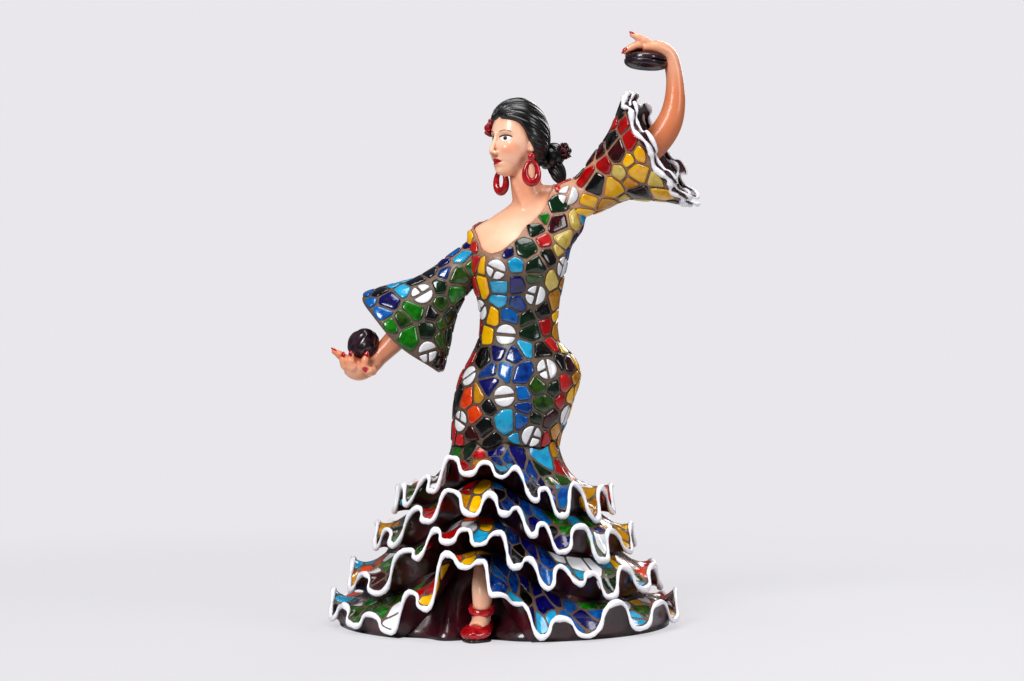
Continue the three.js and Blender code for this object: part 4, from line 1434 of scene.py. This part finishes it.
hands = {
    "raised": {
        "arm": [
            (46, -5, 164, 5.4), (53.4, -6.6, 170.6, 5.2), (58, -7.7, 176.8, 4.7), (60.1, -8, 184, 3.9),
            (60.3, -8, 192.5, 3.1), (59.2, -8, 199, 2.9),
        ],
        "palm": [
            (60.1, -8, 195, 2.7, 2.8), (58.6, -8, 200.8, 2.8, 3.1), (55.6, -8, 203.2, 3.0, 4.4),
            (52.0, -8.2, 203.8, 2.9, 5.0), (48.6, -8.4, 203.6, 2.6, 4.8),
        ],
        "fingers": [
            [(51.6, -11, 204.6), (49.2, -11.4, 206.0), (47.2, -11.5, 207.2), (45.0, -11.5, 208.2)],
            [(50.6, -10.4, 204.2), (47.6, -11, 204.6), (45, -11.4, 203.8), (43.0, -11.4, 202.8)],
            [(50.2, -8.2, 204.4), (47.2, -8.4, 204.8), (44.6, -8.6, 204.0), (42.8, -8.6, 202.4)],
            [(50.2, -5.8, 204.0), (47.6, -5.6, 204.2), (45.6, -5.4, 203.4), (44.2, -5.4, 201.8)],
            [(58.2, -5.2, 200.6), (56.4, -3.4, 199.8), (54.2, -2.6, 200), (52.0, -2.4, 200.4)],
        ],
        "radii": (1.7, 1.5, 1.3, 1.0),
        "nail": (0.8, 1.3, 0.5),
        "node": "raised_forearm",
    },
    "lowered": {
        "arm": [
            (-30, -1.2, 109, 5.0), (-36, -1.6, 103.6, 4.4), (-41, -2.1, 98.6, 3.8),
            (-46, -3.2, 93.4, 3.1),
        ],
        "palm": [
            (-43, -2.6, 96.6, 3.0, 3.2), (-47.6, -3.8, 91.6, 3.3, 3.8), (-51.8, -5.2, 90.4, 4.2, 4.6),
            (-55.2, -5.8, 92.2, 3.5, 4.2),
        ],
        "fingers": [
            [(-54.6, -4.6, 91.6), (-56.6, -5.0, 93.8), (-58.4, -5.2, 95.4), (-60.4, -5.4, 96.6)],
            [(-54.2, -6.6, 90.4), (-56.2, -8.4, 91.8), (-56.8, -9.4, 93.4), (-56.5, -9.6, 95)],
            [(-52.2, -7.4, 89.8), (-53.6, -9.4, 91.2), (-54.2, -10.2, 93.2), (-53.9, -10.3, 95.4)],
            [(-49.6, -6.8, 90), (-49.6, -8.8, 91.6), (-49.2, -9.6, 93.4), (-48.6, -9.6, 95.2)],
            [(-47.4, -5.6, 90.8), (-46.8, -7.6, 89.8), (-47.6, -9, 89.8), (-48.8, -9.6, 90.4)],
        ],
        "radii": (2.0, 1.7, 1.4, 1.05),
        "nail": (1.0, 1.55, 0.55),
        "node": "lowered_forearm",
    },
}


def makeArm(kind):
    hand = hands[kind]
    fingerRadii = hand["radii"]
    forms = [tubeGrid(hand["arm"], 40, 28), tubeGrid(hand["palm"], 16, 24)]
    nails = []
    for points in hand["fingers"]:
        rows = rowsOf(points, fingerRadii)
        forms.append(tubeGrid(rows, 14, 12))
        forms.append(ballGrid(points[-1], [fingerRadii[-1] * 1.02] * 3, sides=12, rows=8))
        for point, radius in zip(points[1:3], fingerRadii[1:3]):
            forms.append(ballGrid(point, [radius * 1.12] * 3, sides=12, rows=8))
        # the nail lies on the back of the last joint
        tip, joint = np.array(points[-1], float), np.array(points[-2], float)
        along = unit(tip - joint)
        bend = along - unit(joint - np.array(points[-3], float))
        back = -bend if np.linalg.norm(bend) > 0.05 else np.array([-0.3, -0.8, 0.5])
        back = unit(back - (back @ along) * along)
        axes = [np.cross(along, back), along, back]
        nail = ballGrid(tip + back * 0.55 + along * 0.1, hand["nail"], axes, 14, 9)
        nails.append(cappedGrid(nail))
    made = melted(kind + "Forearm", forms, 0.34, 9, "skin")
    finishPiece(made, "skin", hand["node"])
    finishPiece(faceOut(makeObject(kind + "Nails", *joined(nails), ["nail"])), "red_enamel")


makeBust()
makeArm("raised")
makeArm("lowered")
print("skin ready")


castanets = [
    {"node": "raised_castanet_upper", "turn": (0, 3), "radius": 7.2, "depth": 2.7, "side": 1},
    {"node": "raised_castanet_lower", "turn": (0, 5), "radius": 7.5, "depth": 3.1, "side": -1},
    {"node": "lowered_castanet_front", "turn": (49, -56), "radius": 5.5, "depth": 4.8, "side": 1},
    {"node": "lowered_castanet_back", "turn": (49, -56), "radius": 5.5, "depth": 3.4, "side": -1},
]
pairsAt = {"raised": (49.9, -8, 199.6), "lowered": (-49.9, -3.2, 98.8)}


def turned(points, turnX, turnY):
    x, y = math.radians(turnX), math.radians(turnY)
    aboutX = np.array([[1, 0, 0], [0, math.cos(x), -math.sin(x)], [0, math.sin(x), math.cos(x)]])
    aboutY = np.array([[math.cos(y), 0, math.sin(y)], [0, 1, 0], [-math.sin(y), 0, math.cos(y)]])
    return points @ (aboutY @ aboutX).T


def makeCastanet(shell):
    # a shell with a flat rim, a hollow inside, a waisted ear for the cord and grooves along the back
    angle = turnRound(72)
    degrees = np.degrees(angle)
    outline = 1 + 0.09 * bump(wrapDegrees(degrees), 26) - 0.05 * bump(wrapDegrees(degrees - 48), 15)
    outline -= 0.05 * bump(wrapDegrees(degrees + 48), 15)
    rows = []
    profile = [(0.08, -0.34), (0.5, -0.26), (0.78, -0.06), (0.86, 0.0), (0.97, 0.0), (1.0, 0.04), (1.0, 0.14)]
    profile += [(math.cos(t) ** 0.72, 0.14 + 0.86 * math.sin(t) ** 0.8) for t in np.linspace(0.12, 1.5, 15)]
    for out, high in profile:
        reach = shell["radius"] * out * outline
        x, y = reach * np.cos(angle), reach * np.sin(angle)
        groove = 0.1 * np.cos(y * 2.6) * smooth(0.2, 0.5, high) * smooth(0.05, 0.3, out)
        z = 0.22 + shell["depth"] * abs(high)
        rows.append(np.stack([x, y, shell["side"] * (z + groove)], 1))
    grid = turned(np.array(rows), *shell["turn"]) + pairsAt[shell["node"].split("_")[0]]
    points, faces = cappedGrid(grid)
    made = faceOut(makeObject(shell["node"] + "Shell", points, faces, ["castanet"]))
    finishPiece(made, "castanet", shell["node"])


for shell in castanets:
    makeCastanet(shell)


headAt = np.array([4.2, -1, 171.6])
headTurn = math.radians(-52)
forward = np.array([math.sin(headTurn), -math.cos(headTurn), 0])
sideways = np.array([math.cos(headTurn), math.sin(headTurn), 0])
upward = np.array([0, 0, 1.0])
headAxes = np.array([sideways, -forward, upward])
eye = {"across": 3.5, "up": 0.5, "half": (1.95, 1.0)}
mouthUp = -7.6


def onHead(ahead, side, up):
    return headAt + forward * ahead + sideways * side + upward * up


def headForm(ahead, side, up, half):
    # half sizes: across, front to back, up
    return ballGrid(onHead(ahead, side, up), half, headAxes, 36, 24)


def sculpt(made):
    # eye hollows, lids, lips, nostrils and chin, pushed along the facing direction
    mesh = made.data
    flat = np.empty(len(mesh.vertices) * 3)
    mesh.vertices.foreach_get("co", flat)
    points = (flat.reshape(-1, 3) - axisAt) / mm - headAt
    ahead, side, up = points @ forward, points @ sideways, points[:, 2]
    face = smooth(2, 5, ahead)
    push = np.zeros(len(points))
    for hand in (-1, 1):
        x = side - hand * eye["across"]
        push -= 1.25 * bump(x, 2.3) * bump(up - 0.7, 1.7)
        push += 0.75 * bump(x, 1.55) * bump(up - eye["up"], 0.95)
        push += 0.35 * bump(x + hand * 0.2, 2.4) * bump(up - 2.7, 0.7)
        push -= 0.45 * bump(side - hand * 0.62, 0.4) * bump(up + 5.7, 0.45)
        push += 0.5 * bump(side - hand * 4.9, 2.2) * bump(up + 3.4, 2.4)
    width = bump(side, 2.1)
    push += 0.62 * width * bump(up - mouthUp - 0.62, 0.55)
    push -= 0.15 * bump(side, 0.35) * bump(up - mouthUp - 1.6, 0.8)
    push += 0.72 * bump(side, 1.8) * bump(up - mouthUp + 0.85, 0.6)
    push -= 0.55 * bump(side, 2.2) * bump(up - mouthUp, 0.24)
    push -= 0.35 * bump(side, 2.4) * bump(up - mouthUp + 2.1, 0.6)
    push += 0.4 * bump(side, 2) * bump(up + 11.4, 1.2)
    points = points + forward * (push * face)[:, None]
    mesh.vertices.foreach_set("co", toFrame(points + headAt).ravel())
    mesh.update()


def makeFaceFinish():
    # painted skin, with brows, eyes, lips and a warm cheek, in the head's own directions
    finish = Finish("paintedFace")
    coordinates = finish.node("ShaderNodeTexCoord", out=3)
    at = toFrame(headAt)
    sockets = {"Vector": coordinates, "Location": list(at), "Rotation": (0, 0, headTurn), "Scale": [mm] * 3}
    own = finish.node("ShaderNodeMapping", {"vector_type": "TEXTURE"}, sockets)
    across, behind, up = finish.parts(own)
    out = abs(across)
    facing = (-behind).ramp(3.0, 4.5)
    x = (out - eye["across"]) / eye["half"][0]
    high = (up - eye["up"]) / eye["half"][1]
    eyeOpen = (1.0 - (x * x + high * high).ramp(0.82, 1.08)) * facing
    gaze, above = out - eye["across"], up - eye["up"]
    iris = (gaze * gaze + above * above) ** 0.5
    lid = abs(high - (1.0 - 0.42 * x * x))
    lash = (1.0 - lid.ramp(0.16, 0.38)) * (1.0 - abs(x).ramp(1.05, 1.35))
    browAt = 3.25 - 0.13 * (out - 3.6) * (out - 3.6)
    brow = (1.0 - abs(up - browAt).ramp(0.1, 0.3)) * out.ramp(1.5, 1.9) * (1.0 - out.ramp(5.4, 6.1)) * 0.85
    lipHalf = 1.12 - 0.17 * across * across
    lips = (1.0 - (abs(up - mouthUp + 0.08) - lipHalf).ramp(-0.1, 0.08)) * (1.0 - out.ramp(2.1, 2.4))
    crease = (1.0 - abs(up - mouthUp).ramp(0.05, 0.16)) * (1.0 - out.ramp(1.9, 2.3))
    cheek = ((out - 5.0) * (out - 5.0) + (up + 3.2) * (up + 3.2)) ** 0.5
    blush = (1.0 - cheek.ramp(0.4, 3.6)) * 0.55
    hollow = ((out - 3.5) * (out - 3.5)) * 0.14 + (up - 1.5) * (up - 1.5) * 0.7
    shadow = (1.0 - hollow.ramp(0.2, 1.1)) * 0.35
    colour = skinColour(finish)
    layers = [
        (blush * facing, paint(232, 116, 66)),
        (shadow * facing, paint(214, 128, 88)),
        (eyeOpen, paint(246, 244, 242)),
        ((1.0 - iris.ramp(0.62, 0.78)) * eyeOpen, paint(64, 34, 22)),
        ((1.0 - iris.ramp(0.28, 0.4)) * eyeOpen, paint(8, 6, 8)),
        (lash * facing, paint(20, 12, 12)),
        (brow * facing, paint(52, 30, 24)),
        (lips * facing, paint(186, 18, 30)),
        (crease * facing, paint(110, 8, 20)),
    ]
    for share, shade in layers:
        colour = finish.mix(share, colour, shade)
    fine = finish.noise(1.3, 3)
    normal = finish.bumpFrom(fine, 0.1, 0.0002)
    return finish.surface(colour, 0.3 + 0.12 * fine, normal, skinGloss)


finishes["face"] = makeFaceFinish()


def makeHead():
    noseLine = [onHead(8.9, 0, 2.6), onHead(9.9, 0, -0.6), onHead(11.0, 0, -3.6), onHead(10.9, 0, -4.8)]
    forms = [
        headForm(-0.6, 0, 1.6, (8.9, 9.7, 11.9)),
        headForm(2.2, 0, -3.6, (7.0, 7.5, 8.2)),
        headForm(4.4, 0, -8.4, (4.4, 4.6, 4.4)),
        headForm(6.4, 0, -10.3, (2.3, 2.2, 2.1)),
        tubeGrid(rowsOf(noseLine, (0.8, 0.72, 0.98, 0.85)), 14, 16),
        headForm(10.1, 1.15, -4.7, (0.75, 1.0, 0.75)),
        headForm(10.1, -1.15, -4.7, (0.75, 1.0, 0.75)),
        tubeGrid(neckRows[2:], 10, 30),
    ]
    for hand in (-1, 1):
        forms.append(headForm(-0.4, hand * 8.9, -1.6, (0.8, 1.5, 2.6)))
        forms.append(headForm(0.2, hand * 8.9, -3.6, (0.9, 0.9, 1.0)))
    made = melted("head", forms, 0.3, 7, "face")
    sculpt(made)
    finishPiece(made, "skin", "head")


bunAt = np.array([17.0, 5.8, 166.6])


def hairAxes():
    pole = unit(bunAt - onHead(-0.6, 0, 1.2))
    first = unit(np.cross(pole, upward))
    return pole, first, np.cross(pole, first)


def makeHairCap():
    # combed from a middle parting to the bun: ridges run along lines that meet at the bun
    pole, first, second = hairAxes()
    rows, sides = 110, 420
    tilt = np.linspace(0.02, math.pi - 0.02, rows)[:, None]
    angle = turnRound(sides)[None, :]
    ring = np.cos(angle)[..., None] * first + np.sin(angle)[..., None] * second
    way = np.cos(tilt)[..., None] * pole + np.sin(tilt)[..., None] * ring
    ahead, side, up = way @ forward, way @ sideways, way @ upward
    place = np.stack([ahead * 10.6, side * 9.9, up * 12.9], -1)
    drift = 1.4 * np.sin(tilt * 3) + 0.5 * np.sin(angle * 3)
    ridge = 0.5 + 0.3 * np.sin(38 * angle + drift) + 0.2 * np.sin(61 * angle + 2.1 * drift + 1)
    a, s, u = place[..., 0] - 0.6, place[..., 1], place[..., 2] + 1.2
    opening = 1.9 - (0.79 * a - 0.62 * u) - 0.9 * bump(s, 1.0) - 0.035 * s * s * smooth(0, 6, a)
    nape = u + 9.5
    cover = smooth(-0.5, 0.6, np.minimum(opening, nape))
    lift = 0.85 * cover + 0.5 * smooth(0.5, 4, opening) * cover - 2.4 * (1 - cover)
    parting = bump(s, 0.45) * smooth(-7, -3, a) * smooth(2, 6, u)
    lift = lift + 0.34 * (ridge - 0.5) * cover - 0.75 * parting * cover
    out = place / np.linalg.norm(place, axis=-1)[..., None]
    place = place + out * lift[..., None]
    spots = headAt + (place[..., 0] - 0.6)[..., None] * forward + place[..., 1][..., None] * sideways
    spots = spots + (place[..., 2] + 1.2)[..., None] * upward
    points, faces = cappedGrid(spots)
    made = makeObject("combedHair", points, faces, ["hair"])
    # the ridge mark also places the painted highlight on the strands' crests
    markPoints(made, "ridge", np.concatenate([(ridge * cover).ravel(), [0.4, 0.0]]))
    faceOut(made)
    finishPiece(made, "black_hair", "hair_cap")


def makeBun():
    # a coil of thick strands wound round the bun
    pole, first, second = hairAxes()
    rows, sides = 60, 160
    tilt = np.linspace(0.02, math.pi - 0.02, rows)[:, None]
    angle = turnRound(sides)[None, :]
    wind = angle * 5 + 5.2 * tilt
    ridge = 0.5 + 0.5 * np.cos(wind)
    fine = 0.5 + 0.5 * np.cos(wind * 5 + 1)
    radius = 1 + 0.15 * (ridge**0.6 - 0.6) + 0.02 * fine
    ring = np.cos(angle)[..., None] * first * 4.9 + np.sin(angle)[..., None] * second * 5.0
    ball = np.cos(tilt)[..., None] * pole * 4.3 + np.sin(tilt)[..., None] * ring
    spots = bunAt + ball * radius[..., None]
    points, faces = cappedGrid(spots)
    made = makeObject("coiledBun", points, faces, ["hair"])
    # the strands' crests are marked for the painted highlight in the hair's finish
    shade = 0.6 * ridge + 0.4 * fine * ridge + 0 * tilt
    markPoints(made, "ridge", np.concatenate([shade.ravel(), [0.5, 0.5]]))
    faceOut(made)
    finishPiece(made, "black_hair", "hair_bun")


def makeTail():
    rows = [
        (17.4, 5.2, 164.5, 2.5, 2.3), (18.8, 4.4, 161.6, 2.9, 2.5),
        (19.8, 3.2, 159, 2.4, 2.0), (20.6, 2.2, 156.8, 1.2, 1.0),
    ]
    steps, sides = 34, 84
    grid = tubeGrid(rows, steps, sides)
    middle = grid.mean(1, keepdims=True)
    angle = turnRound(sides)[None, :]
    twist = np.linspace(0, 1.6, steps + 1)[:, None]
    ridge = 0.5 + 0.5 * np.cos(9 * angle + 4 * twist)
    grid = middle + (grid - middle) * (0.9 + 0.16 * ridge)[..., None]
    points, faces = cappedGrid(grid)
    made = makeObject("hairTail", points, faces, ["hair"])
    # the strands' crests are marked for the painted highlight in the hair's finish
    markPoints(made, "ridge", np.concatenate([ridge.ravel(), [0.4, 0.4]]))
    faceOut(made)
    finishPiece(made, "black_hair", "hair_tail")


flowers = [
    {
        "name": "bunFlower", "at": (21.0, 3.6, 168.2), "face": (0.75, -0.55, 0.35), "radius": 4.0,
        "finish": "flower", "slot": "dark_flower", "node": "hair_flower",
    },
    {
        "name": "templeFlower", "at": (-4.0, 6.4, 176.8), "face": (-0.8, 0.45, 0.3), "radius": 4.2,
        "finish": "red", "slot": "red_enamel", "node": "side_flower",
    },
]
# each whorl of petals: how many, how far out, how far they lean, their size, and where the first stands
whorls = [(6, 0.62, 0.95, 0.46, 0.0), (5, 0.4, 0.55, 0.4, 0.4), (3, 0.18, 0.2, 0.3, 0.2)]


def makeFlower(flower):
    # whorls of cupped petals that open outwards, round a small bud
    face = unit(np.array(flower["face"], float))
    first = unit(np.cross(face, upward))
    second = np.cross(face, first)
    forms = []
    radius = flower["radius"]
    for count, reach, lean, size, start in whorls:
        for k in range(count):
            angle = 2 * math.pi * (k + start) / count + random.uniform(-0.12, 0.12)
            out = math.cos(angle) * first + math.sin(angle) * second
            along = out * math.sin(lean) + face * math.cos(lean)
            across = np.cross(face, out)
            normal = np.cross(along, across)
            ball = ballGrid((0, 0, 0), (size, size * 1.15, 0.09), None, 20, 12)
            cup = 0.55 * (ball[..., 0] ** 2 + 0.4 * ball[..., 1] ** 2) / size
            curl = 0.22 * smooth(0.2, 1.0, ball[..., 1] / size) ** 2
            local = np.stack([ball[..., 0], ball[..., 1], ball[..., 2] + cup - curl], -1) * radius
            middle = np.array(flower["at"]) + (out * reach * 0.6 + face * 0.25 * (1 - reach)) * radius
            forms.append(middle + local @ np.array([across, along, -normal]))
    forms.append(ballGrid(flower["at"], [0.26 * radius] * 3, None, 14, 10))
    points, faces = joined(cappedGrid(form) for form in forms)
    made = faceOut(makeObject(flower["name"], points, faces, [flower["finish"]]))
    finishPiece(made, flower["slot"], flower["node"])


earrings = [
    {"name": "nearHoop", "at": (9.6, -9.6, 160), "turn": 12, "node": "near_earring"},
    {"name": "farHoop", "at": (-1.2, 6.4, 157.8), "turn": -40, "node": "far_earring"},
]


def makeEarring(earring):
    # a drop-shaped hoop, thick at the bottom, hanging from a domed stud
    around, across = turnRound(64)[:, None], turnRound(20)[None, :]
    thick = 1.15 - 0.4 * np.sin(around)
    out = (2.3 - 0.25 * np.sin(around)) + thick * np.cos(across)
    high = 3.7 + thick * np.cos(across)
    x = out * np.cos(around)
    z = high * np.sin(around)
    y = 0.95 * np.sin(across) * (1.1 - 0.2 * np.sin(around))
    hoop = np.stack([x, y + 0 * x, z], -1)
    turn = math.radians(earring["turn"])
    turning = np.array([[math.cos(turn), math.sin(turn), 0], [-math.sin(turn), math.cos(turn), 0], [0, 0, 1]])
    stud = cappedGrid(ballGrid((0, 0, 5.4), (1.35, 1.1, 1.5), None, 24, 14))
    points, faces = joined([(hoop.reshape(-1, 3), gridFaces(64, 20, closedRows=True)), stud])
    points = points @ turning + earring["at"]
    made = faceOut(makeObject(earring["name"], points, faces, ["red"]))
    finishPiece(made, "red_enamel", earring["node"])


makeHead()
makeHairCap()
makeBun()
makeTail()
for flower in flowers:
    makeFlower(flower)
for earring in earrings:
    makeEarring(earring)
print("head ready")


shoe = {
    # along the foot from heel to toe: middle, half width, half height
    "rows": [
        (-6.4, -43.6, 4.2, 2.2, 3.0), (-6.8, -45.5, 4.8, 3.4, 3.8), (-7.8, -50, 3.9, 4.2, 3.2),
        (-9.2, -54.6, 3.2, 5.1, 2.7), (-10.1, -58, 2.7, 4.6, 2.2), (-10.5, -60.4, 2.1, 2.6, 1.3),
    ],
    "strapAt": (-7.5, -49.6, 10.2),
}


def makeLeg():
    shin = [
        (-5.8, -40.5, 25, 4.3), (-6.2, -43, 21.5, 4.3), (-6.8, -46, 18, 4.1),
        (-7.2, -48, 14.6, 3.6), (-7.4, -49.2, 11, 3.1), (-7.6, -50, 7, 3.3),
    ]
    instep = [(-7.3, -48, 7.2, 3.1), (-8.0, -52.2, 6.0, 3.0), (-9.2, -55.8, 4.0, 2.8)]
    forms = [
        tubeGrid(shin, 26, 28),
        tubeGrid(instep, 14, 24, depthNear=(0, 0, 1)),
        ballGrid((-10.6, -49.8, 9.6), (0.9, 1.0, 1.1)),
        ballGrid((-4.4, -49.6, 9.9), (0.9, 1.0, 1.1)),
        ballGrid((-7.2, -46.6, 6.4), (2.6, 2.4, 3.4)),
    ]
    made = melted("leg", forms, 0.4, 5, "skin")
    finishPiece(made, "skin", "leg")


def makeShoe():
    grid = tubeGrid(shoe["rows"], 40, 40, depthNear=(0, 0, 1))
    forms = [grid, ballGrid((-10.4, -59.4, 2.6), (2.7, 2.2, 1.5))]
    made = melted("shoe", forms, 0.36, 4, "red")
    finishPiece(made, "red_enamel", "shoe")
    # the strap round the ankle, with its button
    around, across = turnRound(60)[:, None], turnRound(16)[None, :]
    x = (3.7 + 0.8 * np.cos(across)) * np.cos(around)
    y = (3.8 + 0.8 * np.cos(across)) * np.sin(around)
    z = 1.3 * np.sin(across) + 0.3 * y
    ring = np.stack([x, y, z], -1).reshape(-1, 3) + shoe["strapAt"]
    button = cappedGrid(ballGrid((-11.2, -51.2, 9.9), (0.5, 0.75, 0.75), None, 16, 10))
    points, faces = joined([(ring, gridFaces(60, 16, closedRows=True)), button])
    finishPiece(faceOut(makeObject("shoeStrap", points, faces, ["red"])), "red_enamel")


def makeSole():
    # a thin sole with a rounded edge, wider at the ball of the foot
    angle = turnRound(96)
    along, across = np.cos(angle), np.sin(angle)
    halfWidth = 3.6 + 1.5 * bump(along - 0.35, 0.5) - 0.5 * bump(along + 0.3, 0.3)
    direction = np.array([-4.1, -16.6]) / math.hypot(4.1, 16.6)  # heel to toe
    side = np.array([-direction[1], direction[0]])
    flat = np.array([-8.55, -52.0]) + along[:, None] * 9.1 * direction + (across * halfWidth)[:, None] * side
    rows = []
    for grow, z in ((-1.0, 0.0), (-0.1, 0.0), (0.1, 0.25), (0.1, 0.8), (-0.2, 1.1), (-1.4, 1.15)):
        away = flat - flat.mean(0)
        ring = flat + away / np.linalg.norm(away, axis=1)[:, None] * grow
        rows.append(np.column_stack([ring, np.full(len(ring), z)]))
    points, faces = cappedGrid(np.array(rows))
    made = faceOut(makeObject("shoeSole", points, faces, ["sole"]))
    finishPiece(made, "shoe_sole", "shoe_sole")


makeLeg()
makeShoe()
makeSole()
print("leg and shoe ready")


studio = {
    "camera": (2.7, -850, 100.5),
    "lens": 83.7,
    # each soft panel: place and size in metres, and power
    "panels": [
        ("keyPanel", (-0.5, -0.75, 0.72), (0.35, 0.45), 10),
        ("fillPanel", (0.8, -0.55, 0.45), (0.3, 0.45), 3),
        ("topPanel", (0.05, -0.1, 0.95), (0.5, 0.5), 5),
        ("backPanel", (0.35, 0.8, 0.5), (0.4, 0.4), 2.5),
    ],
    "room": 0.1,
    "backdrop": paint(233, 231, 235),
}


def makeCamera():
    data = bpy.data.cameras.new("camera")
    data.lens = studio["lens"]
    data.sensor_width = 36
    data.clip_start = 0.01
    made = bpy.data.objects.new("camera", data)
    made.location = toFrame(studio["camera"])
    made.rotation_euler = (math.radians(90), 0, 0)
    bpy.context.scene.collection.objects.link(made)
    bpy.context.scene.camera = made


def makeLight(name, place, size, power):
    data = bpy.data.lights.new(name, "AREA")
    data.shape = "RECTANGLE"
    data.size, data.size_y = size
    data.energy = power
    made = bpy.data.objects.new(name, data)
    made.location = place
    aim = Vector((0, 0, 0.1)) - Vector(place)
    made.rotation_euler = aim.to_track_quat("-Z", "Y").to_euler()
    bpy.context.scene.collection.objects.link(made)


def makeStudio():
    for panel in studio["panels"]:
        makeLight(*panel)
    world = bpy.data.worlds.new("studio")
    bpy.context.scene.world = world
    world.use_nodes = True
    tree = world.node_tree
    tree.nodes.clear()
    pale = tree.nodes.new("ShaderNodeBackground")
    pale.inputs[0].default_value = studio["backdrop"]
    room = tree.nodes.new("ShaderNodeBackground")
    room.inputs[0].default_value = (1, 1, 1, 1)
    room.inputs[1].default_value = studio["room"]
    rays = tree.nodes.new("ShaderNodeLightPath")
    both = tree.nodes.new("ShaderNodeMixShader")
    last = tree.nodes.new("ShaderNodeOutputWorld")
    tree.links.new(rays.outputs["Is Camera Ray"], both.inputs[0])
    tree.links.new(room.outputs[0], both.inputs[1])
    tree.links.new(pale.outputs[0], both.inputs[2])
    tree.links.new(both.outputs[0], last.inputs[0])
    bpy.context.scene.view_settings.view_transform = "Standard"


def makeFloor():
    # a pale round table top that fades out before its rim
    finish = Finish("tableTop")
    x, y, _ = finish.parts(finish.node("ShaderNodeTexCoord", out=3))
    away = (x * x + y * y) ** 0.5
    tone = finish.noise(3.0, 2)
    colour = finish.mix(tone, paint(208, 207, 210), paint(212, 211, 214))
    matt = finish.node("ShaderNodeBsdfPrincipled", None, {"Base Color": colour, "Roughness": 0.6})
    even = finish.node("ShaderNodeEmission", None, {"Color": studio["backdrop"], "Strength": 1.0})
    seen = finish.node("ShaderNodeLightPath", out=0)
    shader = finish.node("ShaderNodeMixShader", None, {0: seen * 0.72, 1: matt, 2: even})
    clear = finish.node("ShaderNodeBsdfTransparent")
    both = finish.node("ShaderNodeMixShader", None, {0: away.ramp(0.16, 0.5), 1: shader, 2: clear})
    finish.node("ShaderNodeOutputMaterial", None, {"Surface": both})
    mesh = bpy.data.meshes.new("floor")
    rim = [(0.6 * math.cos(t), 0.6 * math.sin(t), 0.0) for t in turnRound(96)]
    mesh.from_pydata(rim, [], [list(range(len(rim)))])
    mesh.materials.append(finish.material)
    made = bpy.data.objects.new("floor", mesh)
    bpy.context.scene.collection.objects.link(made)
    made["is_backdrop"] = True


makeCamera()
makeStudio()
makeFloor()

boxes = {"cad": cadBox, "visual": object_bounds()}
boxes = {name: [list(map(float, corner)) for corner in box] for name, box in boxes.items()}
